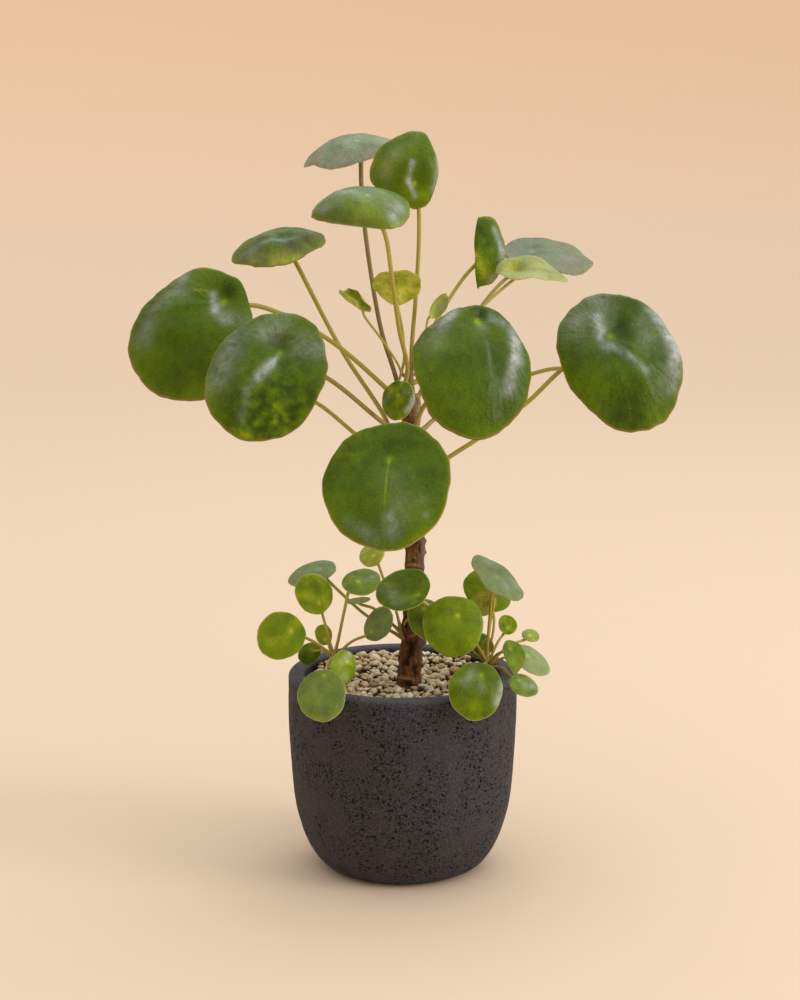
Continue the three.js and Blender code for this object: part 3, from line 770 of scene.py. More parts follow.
def relief(leaf, u, psi, t, s):
    # what shows between the veins and along the folds, as height above the plain dome
    seed = leaf["seed"]
    size = leaf["length"] / 80
    fade = smooth(0.02, 0.2, u)
    height = leaf["quilt"] * size * lumpy((t, s, 0), 13 * size, seed) * fade
    height += 0.22 * size * lumpy((t, s, 9), 4.5 * size, seed) * fade
    wrinkle = leaf["wrinkle"] * size
    height += wrinkle * math.sin(46 * psi + 5 * lumpy((t, s, 3), 16 * size, seed)) * smooth(0.35, 0.95, u)
    for side, depth, width, start, end in leaf["folds"]:
        away = angleFrom(psi, side)
        crest = 0.5 * depth * bell(away, math.radians(width))
        height += crest * smooth(0, start + 0.1, u) * smooth(1.05, end, u)
    return height + painted(leaf["lumps"], t, s)


def bladePoint(leaf, u, psi, depth):
    length, width, offset, dome = leaf["length"], leaf["width"], leaf["offset"], leaf["dome"]
    phase = leaf["phase"]
    wave = 0.988 + 0.02 * math.sin(3 * psi + phase) + 0.01 * math.sin(7 * psi)
    wave += u * (0.004 * math.sin(19 * psi + 2 * phase)
                 + 0.012 * lumpy((math.cos(psi), math.sin(psi), 0), 0.16, leaf["seed"]))
    for side, reach, wide in leaf["bulges"]:
        wave += reach * bell(angleFrom(psi, side), math.radians(wide))
    t = u * (offset + length / 2 * math.cos(psi) * wave)
    s = u * width / 2 * math.sin(psi) * wave
    flat = (t, s)
    fromCentre = ((t - offset) / (length / 2)) ** 2 + (s / (width / 2)) ** 2
    navelRise = dome * (offset / (length / 2)) ** 2
    well = leaf["dimple"] * (1 - math.exp(-(t * t + s * s) / (0.16 * length) ** 2))
    h = navelRise - dome * fromCentre + well
    h += leaf["ripple"] * u ** 3 * math.sin(leaf["waves"] * psi + phase)
    h += relief(leaf, u, psi, t, s) - 0.5 * (length / 80) * smooth(0.93, 1.0, u)
    fold = math.radians(leaf["fold"])
    ridge = math.hypot(s, 1.5)
    folded = (ridge - 1.5) * math.sin(fold) + h * math.cos(fold)
    s = s * math.cos(fold) - s / ridge * h * math.sin(fold)
    h = folded - depth / math.cos(fold)
    if "tube" in leaf:  # a young blade that is still rolled up along its length
        curl = leaf["tube"] * (1 + 0.5 * smooth(0, length / 2, abs(t)))
        angle = s / curl
        s = (curl - h) * math.sin(angle)
        h = curl - (curl - h) * math.cos(angle)
    if "rollBack" in leaf:
        start, toward, radius = leaf["rollBack"]
        along = Vector((math.cos(math.radians(toward)), math.sin(math.radians(toward))))
        past = t * along.x + s * along.y - start
        if past > 0:
            angle = past / radius
            shift = (radius + h) * math.sin(angle) - past
            t += along.x * shift
            s += along.y * shift
            h = (radius + h) * math.cos(angle) - radius
    return Vector((t, s, h)), flat


bladeCuts = {"large": (160, 48), "middle": (96, 28), "small": (64, 18)}  # round it and out to its rim


def growBlade(bm, layers, leaf, cuts):
    # a sphere pressed flat: its poles are the navel's two faces and its equator the rim
    around, rings = bladeCuts[cuts]
    made = stampPattern(bm, f"blade{around}", lambda plain: bmesh.ops.create_uvsphere(
        plain, u_segments=around, v_segments=2 * rings, radius=1))
    turned = leafFrame(leaf)
    thick, edge = leaf["thickness"]
    places = {}
    upper = {}
    for vert in made:
        polar = math.acos(min(1.0, abs(vert.co.z))) / (math.pi / 2)
        u = 0.55 * polar + 0.45 * math.sin(polar * math.pi / 2)
        psi = math.atan2(vert.co.y, vert.co.x)
        face = 1 if vert.co.z > 0 else -1
        rounding = math.sqrt(max(0.0, 1 - u ** 40)) if polar < 0.999 else 0.0
        depth = lerp(thick, edge, u) * (0.5 - 0.5 * face * rounding) + 0.1
        upper[vert] = vert.co.z > -1e-4
        point, flat = bladePoint(leaf, u, psi, depth)
        vert.co = turned @ point
        places[vert] = flat
        paint(vert, layers, leaf, u, psi, *flat)
    uv = layers["uv"]
    for face in {face for vert in made for face in vert.link_faces}:
        face.material_index = 0 if all(upper[vert] for vert in face.verts) else 1
        for loop in face.loops:
            t, s = places[loop.vert]
            loop[uv].uv = (0.5 + t / 200, 0.5 + s / 200)


def paint(vert, layers, leaf, u, psi, t, s):
    seed = leaf["seed"]
    size = leaf["length"] / 80
    tone = leaf["tone"] + 0.1 * lumpy((t, s, 2), 22 * size, seed)
    mottle = lumpy((t, s, 4), 5.5, seed) + 0.5 * lumpy((t, s, 8), 2.6, seed)
    tone += mottle * (leaf["mottle"] + painted(leaf["mottleAt"], t, s))
    tone += 0.3 * bell(math.hypot(t, s), 2.4 * max(0.6, size))
    tone += 0.08 * smooth(0.86, 1.0, u)
    # tone patches: the leaf's own lighter and darker greens, with painted shade darkening the dimpled
    # hollows
    tone += painted(leaf["patches"], t, s)
    # a painted highlight: whitish sheen laid into the colour where the leaf's gloss catches the light,
    # broken up by noise
    broken = max(0.0, 0.85 + 0.5 * lumpy((t, s, 6), 7, seed) + 0.4 * lumpy((t, s, 5), 2.6, seed))
    bloom = leaf["bloom"] + painted(leaf["blooms"], t, s) * broken
    tan = leaf["tan"] * smooth(leaf["tanFrom"], 1, u) * (0.8 + lumpy((t, s, 1), 9, seed))
    painting = {
        "tone": min(1.0, max(0.0, tone)),
        "bloom": min(1.0, max(0.0, bloom)),
        "rim": u,
        "tan": tan,
        "seed": 0.31 * seed,
        "veins": leaf["veins"],
        "blush": leaf["blush"],
        "pale": leaf["pale"],
        "streaky": leaf["streaky"] + painted(leaf["streaksAt"], t, s),
    }
    for name, value in painting.items():
        vert[layers[name]] = value


def bladePlace(shader):
    # metres from the navel, and the same place set apart for every leaf
    flat = shader.node("UVMap", {"uv_map": "blade"})
    spread = shader.node("Mapping", sockets={"Vector": flat, "Location": (-0.1, -0.1, 0),
                                             "Scale": (0.2, 0.2, 1)})
    own = shader.node("CombineXYZ", sockets={"Z": shader.value("seed")})
    return spread, shader.vector("ADD", spread, own)


def bladeMaterial(name, skin):
    shader = Shader(name + "Blade")
    spread, place = bladePlace(shader)
    t = shader.part(spread, 0)
    s = shader.part(spread, 1)
    warp = shader.noise(place, 90.0, 3.0)
    reach = (t * t + s * s) ** 0.5
    angle = s.maths("ARCTAN2", s, t) + (warp - 0.5) * 0.5
    spokes = 11
    turn = angle * (spokes / (2 * math.pi)) + 0.5
    beside = abs(turn.maths("FRACT", turn) - 0.5) * reach * (2 * math.pi / spokes)
    ribs = (1 - beside.step(0.0001, 0.00042)) * (1 - reach.step(0.016, 0.036)) * shader.value("veins")
    net = 1 - shader.cells(place, 210.0, "DISTANCE_TO_EDGE").step(0.0, 0.09)
    net = net * shader.value("veins") * 0.35
    way = shader.vector("NORMALIZE", spread)
    rays = shader.node("VectorMath", {"operation": "SCALE"}, {0: way, "Scale": 14.0})
    outward = shader.node("CombineXYZ", sockets={"Z": reach * 120.0 + shader.value("seed")})
    polar = shader.vector("ADD", rays, outward)
    streaks = shader.noise(polar, 1.0, 4.0, 0.65)
    streaks = (streaks - 0.5) * reach.step(0.002, 0.018) * shader.value("streaky")
    fine = shader.noise(place, 1000.0, 4.0, 0.65)
    pebble = shader.cells(place, 640.0)
    pick = shader.node("SeparateColor", sockets={"Color": shader.cells(place, 230.0, output="Color")})
    dots = (1 - shader.cells(place, 230.0).step(0.03, 0.085)) * pick.step(0.8, 0.82)
    tone = shader.value("tone") + (fine - 0.5) * 0.3 + streaks * 0.22 + ribs * 0.2 + net * 0.12
    rim = shader.value("rim")
    edge = skin["edge"]
    bloom = shader.value("bloom")
    patchy = shader.noise(place, 260.0, 3.0, 0.6).step(0.25, 0.7)
    color = shader.layers(shader.ramp(tone - pebble * 0.06 + 0.03, skin["stops"]), [
        (dots * 0.7, rgb(190, 200, 120)),
        (shader.value("tan"), rgb(132, 104, 58)),
        (rim.step(edge - 0.01, edge + 0.006) * shader.value("blush"), rgb(132, 100, 42)),
        (rim.step(edge, edge + 0.014) * shader.value("pale"), rgb(206, 210, 122)),
        # painted sheen highlights, patchy and following the streaks
        (bloom * (0.55 + patchy * 0.35 + streaks * 1.6 + (fine - 0.5) * 0.8), skin["bloom"]),
    ])
    height = fine * 0.4 - pebble * 0.45 + streaks * 1.1 + patchy * 0.2 - ribs * 0.8 - net * 0.5
    normal = shader.bump(height, skin["bump"], 0.0006)
    roughness = skin["rough"] + fine * 0.1 + bloom * 0.1
    return shader.finish(color=color, roughness=roughness, normal=normal, coat=0.08,
                         coatRoughness=0.18, specular=skin["shine"])


def undersideMaterial(name, skin):
    shader = Shader(name + "Underside")
    place = bladePlace(shader)[1]
    net = 1 - shader.cells(place, 170.0, "DISTANCE_TO_EDGE").step(0.0, 0.12)
    fine = shader.noise(place, 1100.0, 3.0)
    specks = shader.noise(place, 520.0, 2.0).step(0.6, 0.7)
    color = shader.layers(skin["under"], [
        (shader.value("tone").step(0.25, 0.85), skin["vein"]),
        (net * 0.35 + (fine - 0.5) * 0.4, skin["vein"]),
        (specks * 0.5, skin["speck"]),
        (shader.value("rim").step(0.975, 0.995) * shader.value("blush"), rgb(138, 104, 44)),
    ])
    normal = shader.bump(net * 0.6 + fine * 0.4, 0.5, 0.0003)
    return shader.finish(color=color, roughness=0.5 + fine * 0.12, normal=normal, specular=0.25)


def petioleMaterial():
    shader = Shader("petioleSkin")
    place = shader.place()
    along = shader.value("along")
    streak = shader.noise(place, 260.0, 3.0)
    speck = shader.noise(place, 1900.0, 2.0)
    greens = shader.ramp(along + (streak - 0.5) * 0.3, [
        (0.0, rgb(158, 138, 74)), (0.25, rgb(168, 152, 60)),
        (0.7, rgb(174, 164, 62)), (1.0, rgb(182, 176, 80))])
    color = shader.layers(greens, [
        (shader.value("purple") * (0.45 + streak * 0.6), rgb(112, 78, 58)),
        (speck.step(0.6, 0.7) * 0.3, rgb(108, 88, 34)),
    ])
    normal = shader.bump(speck + streak, 0.35, 0.0003)
    return shader.finish(color=color, roughness=0.42 + speck * 0.15, normal=normal, specular=0.4, coat=0.1)


skins = {  # the greens of a blade from dark to light, the colour of its painted sheen highlights and its gloss, and its underside
    "grown": {
        "stops": [(0.0, rgb(30, 42, 2)), (0.3, rgb(64, 84, 4)), (0.5, rgb(94, 118, 6)),
                  (0.75, rgb(146, 160, 28)), (1.0, rgb(204, 202, 92))],
        "bloom": rgb(184, 188, 184), "rough": 0.28, "shine": 0.12, "bump": 0.75, "edge": 0.98,
        "under": rgb(116, 126, 44), "vein": rgb(166, 168, 84), "speck": rgb(84, 92, 30),
    },
    "young": {
        "stops": [(0.0, rgb(70, 88, 10)), (0.3, rgb(120, 134, 24)), (0.55, rgb(166, 170, 52)),
                  (0.8, rgb(196, 196, 90)), (1.0, rgb(224, 220, 140))],
        "bloom": rgb(186, 190, 150), "rough": 0.36, "shine": 0.15, "bump": 0.6, "edge": 0.972,
        "under": rgb(150, 164, 36), "vein": rgb(206, 208, 92), "speck": rgb(86, 100, 12),
    },
    "plantlet": {
        "stops": [(0.0, rgb(46, 62, 4)), (0.3, rgb(82, 102, 4)), (0.5, rgb(112, 134, 6)),
                  (0.75, rgb(156, 168, 36)), (1.0, rgb(206, 204, 96))],
        "bloom": rgb(178, 184, 168), "rough": 0.3, "shine": 0.12, "bump": 0.6, "edge": 0.974,
        "under": rgb(120, 132, 28), "vein": rgb(176, 180, 70), "speck": rgb(92, 98, 24),
    },
}
petioleSkin = petioleMaterial()
leafMaterials = {name: [bladeMaterial(name, skin), undersideMaterial(name, skin), petioleSkin]
                 for name, skin in skins.items()}


def leafLayers(bm):
    names = ("tone", "bloom", "rim", "veins", "blush", "pale", "tan", "seed", "streaky", "along", "purple")
    layers = {name: bm.verts.layers.float.new(name) for name in names}
    layers["uv"] = bm.loops.layers.uv.new("blade")
    return layers


def paintStalk(rings, layers, alongAt, purple):
    for i, ring in enumerate(rings):
        for vert in ring:
            vert[layers["along"]] = alongAt(i / (len(rings) - 1))
            vert[layers["purple"]] = purple
            for face in vert.link_faces:
                face.material_index = 2


def growPetiole(bm, layers, leaf, points, spacing, sides):
    radius = leaf["stalk"]
    line = curveThrough(points, spacing)
    length = len(line) * spacing

    def radiusAt(share):
        foot = 0.45 * bell(share * length, 7 * radius / 1.45)
        cuff = 0.35 * bell((1 - share) * length, 3 * radius / 1.45)
        return radius * (1 + foot + cuff - 0.08 * math.sin(math.pi * share))

    paintStalk(growTube(bm, line, radiusAt, sides), layers, lambda share: share, leaf["purple"])


def leafFrom(plain, navel, angles, size, offset, looks):
    # angles are yaw, tilt and turn in degrees, and size is length and width
    yaw, tilt, turn = angles
    return {**plain, "navel": navel, "yaw": yaw, "tilt": tilt, "turn": turn,
            "length": size[0], "width": size[1], "offset": offset, **looks}


def grown(node, start, navel, angles, size, offset, **looks):
    # start is the height on the trunk and the side that the stalk leaves it on
    return {"node": node, "start": start, **leafFrom(plainLeaf, navel, angles, size, offset, looks)}


# dome, dimple, fold and ripple bend a blade, and bulges (side, reach, width) push its outline out;
# lumps, tone patches (the leaf's own greens, with painted shade in its dimples), painted sheen highlights,
# streaksAt and mottleAt are marks on it; the stalk follows its route
mainLeaves = [
    grown("leaf_top_left", (284, -145), (-27.3, 50, 440.5), (-50, 75, -92), (59, 59.5), 10, stalk=1.45,
          dome=12, dimple=2, ripple=0.6, quilt=0.9,
          lumps=[(-8, 16, 4, -1.2), (2, 12, 6, 0.8), (-3, 22, 5, -0.8)],
          route=[(-5, 6, 305), (-13, 14, 330), (-23, 36, 390), (-25, 46, 415)], tone=0.5, bloom=0.42,
          blush=0.9, tan=0.42, tanFrom=0.2, purple=0.9,
          patches=[(-12, 20, 6, -0.16), (0, 6, 5, -0.08), (12, 26, 8, 0.08), (-12, -1, 7, -0.2)],
          blooms=[(-12, 0, 8, -0.3)]),
    grown("leaf_top", (294, 172), (7, 0, 417), (0, 3, -183), (44.5, 49), 8, stalk=1.35, dome=10.5, dimple=4,
          fold=-6, ripple=0.6, phase=2, rollBack=(6.5, -86, 10), quilt=0.8,
          bulges=[(-173, 0.085, 17), (-156, -0.04, 12), (100, 0.16, 24), (60, 0.07, 18)],
          lumps=[(9, 3, 4, 1.4), (1, 5, 4, 1.2), (-7, 0, 3, 0.8), (8, -3, 4, -1.4), (16, 10, 6, 0.8)],
          route=[(5.5, 9, 318), (8, 13, 350), (9.8, 14, 383), (9.5, 12, 403)], tone=0.47, blush=0.3,
          pale=0.3, streaksAt=[(14, 12, 9, 0.35)],
          patches=[(6, -5, 8, -0.08), (-8, 6, 6, 0.06), (-6, -7, 4, 0.1), (18, -4, 6, -0.05),
                   (18, 12, 6, 0.14), (8, 18, 5, 0.12)],
          blooms=[(12, 1.6, 1.5, 0.7, 1, 3.4), (1, 3.4, 1.5, 0.75, -8, -0.6), (-3, -12, 2, 0.55, 15, -13),
                  (18, 10, 5, 0.14), (15, 14, 5, 0.18, 5, 18), (25, 1, 4, 0.12)]),
    grown("leaf_upper_middle", (291, -32), (-20, -40, 412), (0, 62, -76), (59, 54.5), 3.5, stalk=1.4,
          dome=12.5, dimple=3, fold=-7, ripple=0.4, phase=1, rollBack=(14.5, 63, 13), quilt=0.8,
          bulges=[(168, -0.05, 16), (116, -0.08, 16)],
          lumps=[(17, -8, 5, 1), (6, 8, 6, 0.8), (-13, 8, 5, 1)],
          route=[(3, -8, 308), (-2, -20, 333), (-6, -30, 363), (-11, -37, 392)], tone=0.5, bloom=0.06,
          blush=0.3, streaksAt=[(18, -8, 12, 0.7), (-14, 12, 8, 0.7)],
          patches=[(0, 19, 12, 0.06), (22, 12, 8, -0.08), (-2, -4, 5, -0.06)],
          blooms=[(24, -14, 3.4, 0.6, 13, -12), (20, -8, 3, 0.4, 10, -4), (-11, 17, 3.4, 0.75, -17, 9),
                  (-9, 10, 3.5, 0.3), (26, 2, 5, 0.3), (14, -2, 7, 0.25, -4, -2)]),
    grown("leaf_upper_left", (258, -108), (-70, 25, 386.2), (-34, 70, -56), (58.5, 53.5), 6.5, stalk=1.45,
          dome=11, dimple=2, ripple=0.6, phase=3, quilt=1.1,
          lumps=[(1, 1, 4, -2.2), (8, 14, 5, 1.4), (-4, 12, 4, 1), (-12, 6, 5, 1)],
          route=[(-12, 5, 280), (-36, 14, 316), (-60, 22, 361)], tone=0.44, bloom=0.05, blush=0.6, tan=0.38,
          tanFrom=0.3, mottle=0.16,
          patches=[(1, 1, 5, -0.25), (-12, 8, 6, -0.14), (16, 8, 6, -0.12), (-4, 16, 5, -0.1),
                   (9, 24, 5, 0.3), (-5, 24, 5, 0.24), (3, 25, 4, 0.2)],
          blooms=[(13, 10, 2.4, 0.45, -3, 11), (22, 11, 5, 0.3), (16, -6, 6, 0.25), (-8, -10, 6, 0.25)]),
    grown("leaf_far_left", (286, -80), (-105, -15, 348.3), (-18, 20, -41), (83.5, 77), 27, dome=8.5,
          dimple=4.4, ripple=0.8, phase=4, rollBack=(8.5, 155, 9.5), quilt=1,
          bulges=[(-131, 0.06, 16), (-98, -0.08, 20), (-176, 0.04, 14)],
          folds=[(-66, 1.5, 11, 0.1, 0.7), (-92, -1.3, 13, 0.15, 0.8)],
          lumps=[(-12, -2, 8, 1.8), (-4, -4, 4, -2.2), (5, -4, 4, 1.2), (-2, 12, 7, 1.2), (24, 0, 12, 0.8),
                 (4, -14, 3, 0.9), (0, -17, 3, -0.9), (9, -18, 3, 0.7)],
          route=[(-10, -1, 296), (-45, -3, 326), (-85, -3, 345)], tone=0.41, blush=0.7,
          streaksAt=[(14, -26, 14, 0.6)],
          patches=[(-8, -4, 7, -0.16), (6.6, -17, 0.8, 0.2, 2, -11.5), (5.6, -14, 0.7, 0.14, 5, -9),
                   (28, 14, 13, -0.07), (46, 31, 11, 0.1), (20, 30, 9, 0.06), (40, -6, 12, -0.03)],
          blooms=[(1, -8, 2.2, 0.8, 6, 1), (6, 1, 3.6, 0.4, 5, 10), (5, 10, 4.5, 0.28, -1, 20),
                  (7, -30, 4, 0.5), (14, -28, 5, 0.4, 24, -27), (34, -27, 7, 0.24, 50, -18),
                  (12, -20, 5, 0.25)]),
    grown("leaf_mid_left", (265, -47), (-69.4, -70, 325.3), (-8, 23, -28), (79.5, 67.5), 15, dome=8,
          dimple=4, ripple=0.6, phase=5, quilt=0.8,
          folds=[(-1, 1.4, 12, 0.12, 0.9), (17, -1, 14, 0.15, 0.9)],
          lumps=[(-5, -5, 6, -2.6), (-12, 2, 7, 1), (30, -16, 9, 0.8), (8, 16, 7, 0.8)],
          route=[(-14, -14, 279), (-43, -43, 307)], tone=0.37, blush=0.5, purple=0.6, mottle=0.07,
          mottleAt=[(34, 16, 20, 0.3)], streaksAt=[(-10, 0, 16, 0.5)],
          patches=[(-5, -5, 6, -0.12), (-12, 8, 6, 0.03), (30, 20, 14, 0.02), (52, 6, 7, 0.12),
                   (40, -22, 8, 0.05)],
          blooms=[(3, 0.5, 1.8, 0.7, 9, 0), (9, 0, 3, 0.9, 18, -1.5), (18, -1.5, 2.4, 0.35, 28, -3),
                  (28, -3, 2.6, 0.16, 44, 2), (31, -23, 8, 0.4, 6, -27), (-7, -14, 7, 0.42),
                  (-16, -8, 7, 0.34), (-10, 9, 7, 0.3), (-13, 18, 7, 0.26)]),
    grown("leaf_front", (261, -6), (-7.6, -115, 271.5), (-14, 27, 0), (74.5, 73), 14, dome=4.5, dimple=2,
          ripple=0.6, phase=0.5, folds=[(1, 0.2, 4, 0.05, 0.7)],
          route=[(5, -18, 265), (2, -50, 270), (-3, -90, 268)], tone=0.39, veins=0.12, blush=0.6, pale=0.3,
          streaky=0.15, mottle=0.05, mottleAt=[(-6, -26, 12, 0.1)],
          patches=[(-7, 0, 7, -0.05), (-2, -12, 8, -0.04), (40, 26, 9, 0.05), (30, -24, 9, 0.05),
                   (1, 0, 0.6, 0.16, 25, 1)],
          blooms=[(34, 5, 4, 0.42, 41, 7), (37, -18, 3.4, 0.24, 42, -8), (44, -4, 5, 0.2),
                  (30, 24, 2.4, 0.2), (12, 4, 9, 0.1, 22, 12), (28, 10, 8, 0.12), (22, 22, 2.6, 0.14)]),
    grown("leaf_mid_right", (272, 26), (41.4, -75, 343.2), (16, 25, -11), (79.5, 68.5), 29, dome=10,
          dimple=4.4, ripple=0.8, phase=1.5, rollBack=(5, 190, 8.5), quilt=0.9,
          bulges=[(180, 0.15, 18), (-139, -0.08, 22), (-106, 0.04, 20), (129, -0.05, 15)],
          folds=[(22, 0.7, 12, 0.4, 1)],
          lumps=[(-9, 1, 8, 3.4), (-5, 2, 4, -2.4), (3, 10, 6, 1.2), (1, -10, 7, 1)],
          route=[(10, -10, 281), (19, -24, 298), (33, -52, 326)], tone=0.35, blush=0.5,
          streaksAt=[(2, -14, 9, 0.6), (12, 20, 10, 0.5)],
          patches=[(-5, 2, 4, -0.2), (2, 2, 2.4, 0.15), (44, -22, 12, 0.06), (58, 4, 9, 0.03),
                   (20, 8, 9, -0.05), (16, -22, 8, 0.09)],
          blooms=[(2, 20, 3, 0.75, 10, 22.5), (10, 22.5, 3.6, 1, 20, 23), (20, 23, 3.6, 0.6, 40, 18.5),
                  (-3, 8, 3, 0.45, -1, 14), (-3, -14, 3, 0.7, 3, -19), (7, -22, 5, 0.4), (18, -25, 7, 0.22),
                  (4, 3, 3, 0.3), (14, 5, 1.2, 0.14, 34, 8)]),
    grown("leaf_far_right", (242, 90), (123.8, 0, 326.6), (13, 20, 26), (89, 74.5), 15.5, dome=10.8,
          dimple=4.8, ripple=0.9, phase=2.5, quilt=1, wrinkle=0.16,
          folds=[(10, 1.6, 14, 0.1, 0.8), (70, -1.6, 17, 0.08, 0.6)],
          lumps=[(-3, 9, 6, -2.4), (-9, -4, 6, 1.4), (2, -13, 8, 0.8), (30, 24, 10, 0.8)],
          route=[(28, 0, 254), (45, 1, 265), (75, 3, 287), (94, 6, 305), (112, 9, 318)], tone=0.33,
          blush=0.7, mottleAt=[(48, -12, 12, 0.1)], streaksAt=[(-14, -8, 18, 0.7), (12, 34, 10, 0.5)],
          patches=[(-3, 8, 5, -0.16), (-4, 20, 7, -0.02), (40, -16, 14, -0.1), (22, -27, 9, 0.05),
                   (54, -5, 8, 0.03)],
          blooms=[(-14, 0, 3.6, 0.55, -7, -4), (-7, -4, 3.4, 0.55, 4, -7), (6, -2, 2.6, 0.5, 28, 6),
                  (-19, -14, 12, 0.34), (-22, 7, 9, 0.3), (2, 21, 5, 0.16), (-4, 33, 5, 0.5, 4, 36),
                  (4, 36, 5.5, 0.9, 24, 35), (24, 35, 5.5, 0.75, 34, 27), (42, 20, 7, 0.3),
                  (12, 18, 8, 0.2)]),
    grown("leaf_folded", (298, 125), (44.4, 30, 372.6), (-43, 12, 189), (45, 37.5), 3.5, stalk=1.2,
          dome=3.5, dimple=1.4, fold=-52, ripple=0.7, waves=3,
          bulges=[(0, -0.1, 13), (-34, 0.12, 18), (-142, 0.08, 18), (180, 0.05, 14)],
          route=[(10, 8, 316), (18, 16, 330), (28, 27, 346), (38, 33, 360)], behind=4, tone=0.47, blush=0.3,
          mottle=0.14,
          patches=[(14, -6, 8, -0.1), (3, -13, 7, -0.08), (-9, -5, 7, 0.14), (-2, -3, 5, 0.12)],
          blooms=[(17, -12, 1.8, 0.7, 4, -17), (4, -17, 1.8, 0.8, -8, -15.5),
                  (-8, -15.5, 2, 0.4, -14, -11)]),
    grown("leaf_back_right", (281, 142), (81.3, 85, 370.7), (27, 72, 53), (58.5, 61.5), 10, stalk=1.3,
          dome=3, dimple=2.4, ripple=0.8, phase=2, quilt=0.9, lumps=[(4, 20, 10, 2.4)],
          route=[(10, 12, 290), (29, 28, 315), (41, 40, 330), (52, 52, 344), (64, 68, 355)], tone=0.38,
          bloom=0.26, blush=0.9, tan=0.6, tanFrom=0.1, purple=0.5, mottle=0.1,
          patches=[(-8, 2, 8, -0.14), (10, 8, 6, 0.06)], blooms=[(22, -3, 8, 0.15)]),
    grown("leaf_small_pale", (290, 103), (68.5, 22, 363.8), (-4, 64, 80), (37, 29.5), 5, stalk=1, dome=3.2,
          dimple=2.2, fold=20, ripple=0.9, phase=1, bulges=[(0, 0.42, 13)],
          lumps=[(-1, 1, 4, -1.2), (-7, -4, 3, 1.4)],
          route=[(16, 3, 309), (37, 9, 333), (51, 14, 346), (61, 21, 354)], behind=2, tone=0.42, bloom=0.52,
          veins=0.8, blush=0.2, pale=0.5, mottle=0.14, patches=[(-4, 2, 6, 0.16), (6, -13, 5, 0.25)],
          blooms=[(-2, 2, 7, -0.5)]),
    grown("leaf_young_underside", (302, 225), (-3, 7, 348.5), (180, 45, 180), (31, 30), 11, stalk=0.9,
          dome=3.8, dimple=1.4, fold=15, ripple=0.5, route=[(1, 3, 312), (0, 4, 330)], behind=4, tone=0.58,
          blush=0.1, pale=0.6, mottle=0.3,
          patches=[(16, 0, 8, -0.3), (6, -14, 7, -0.2), (8, 14, 6, -0.15), (2, -3, 6, 0.25)]),
    grown("leaf_young_curled", (296, -85), (-23.4, -5, 344), (-14, 62, -135), (32, 16), 8.7, stalk=0.8,
          dome=-1.5, dimple=0.5, tube=3, ripple=0.8, route=[(-1, -3, 306), (-12, -5, 325)], behind=4,
          tone=0.5, blush=0.8, pale=0.2, mottle=0.2, patches=[(20, 0, 6, 0.1), (-6, 0, 4, -0.15)]),
    grown("leaf_bud_pair", (303, 100), (17.2, 5, 338), (25, 13, 139), (19, 11), 8, stalk=0.7, dome=-4.8,
          fold=28, route=[(9, 2, 312), (13, 5, 325)], behind=3, tone=0.5, bloom=0.2, pale=0.6, mottle=0.12,
          blooms=[(8, -4, 4, 0.6), (12, -3, 4, 0.5)]),
    grown("leaf_cupped", (282, -15), (-2.6, -25, 295), (-37, 15, -21), (24, 24), 3, stalk=0.8, dome=2.5,
          dimple=0.6, quilt=1.4, route=[(2, -9, 288)], behind=6, tone=0.52, blush=0, pale=0.8, mottle=0.14,
          blooms=[(6, 9.4, 1.5, 0.95, -1, 10.4), (-1, 10.4, 1.5, 0.95, -7, 8), (-4, 4, 2, 0.4),
                  (5, -6, 2.4, 0.3)]),
    grown("leaf_behind_left", (242, -120), (-87, 45, 301), (-150, 50, 20), (60, 56), 9, stalk=1.4, dome=7,
          dimple=2, ripple=0.6, route=[(-29, 10, 267), (-53, 24, 284)], tone=0.4,
          blooms=[(10, 12, 8, 0.3), (-6, -8, 7, 0.25)]),
    grown("leaf_behind_right", (268, 118), (122, 50, 300), (140, 48, -20), (58, 54), 9, stalk=1.4, dome=7,
          dimple=2, ripple=0.6, route=[(22, 8, 278), (79, 34, 300), (100, 43, 302)], tone=0.4,
          blooms=[(12, -10, 8, 0.3), (-5, 9, 7, 0.25)]),
]


def toNavel(leaf, behind):
    turned = leafFrame(leaf)
    under = bladePoint(leaf, 0, 0, 0.8 * leaf["thickness"][0])[0]
    return [turned @ (under - Vector((0, 0, behind))), turned @ under]


def makeMainLeaf(leaf, skin):
    bm = bmesh.new()
    layers = leafLayers(bm)
    height, azimuth = leaf["start"]
    x, y, radius = trunkAt(height)
    side = math.radians(azimuth)
    out = Vector((math.sin(side), -math.cos(side), 0.35))
    centre = Vector((x, y, height))
    points = [centre + out * (radius * 0.6), centre + out * (radius + 3.5), *leaf["route"]]
    points += toNavel(leaf, leaf["behind"])
    growPetiole(bm, layers, leaf, points, 1.6, 14)
    growBlade(bm, layers, leaf, "large" if leaf["length"] > 45 else "middle")
    slot = "young_leaf" if skin == "young" else "grown_leaf"
    return finishPiece(bm, leaf["node"] + "_blade", leafMaterials[skin], slot, leaf["node"])


youngNodes = ("leaf_small_pale", "leaf_young_underside", "leaf_young_curled", "leaf_bud_pair")
for i, leaf in enumerate(mainLeaves):
    leaf["seed"] = 3.7 * i + 1
    makeMainLeaf(leaf, "young" if leaf["node"] in youngNodes else "grown")
print("main leaves ready")


# side shoot and plantlets

def small(navel, angles, size, offset, **looks):
    return leafFrom(smallLeaf, navel, angles, size, offset, looks)


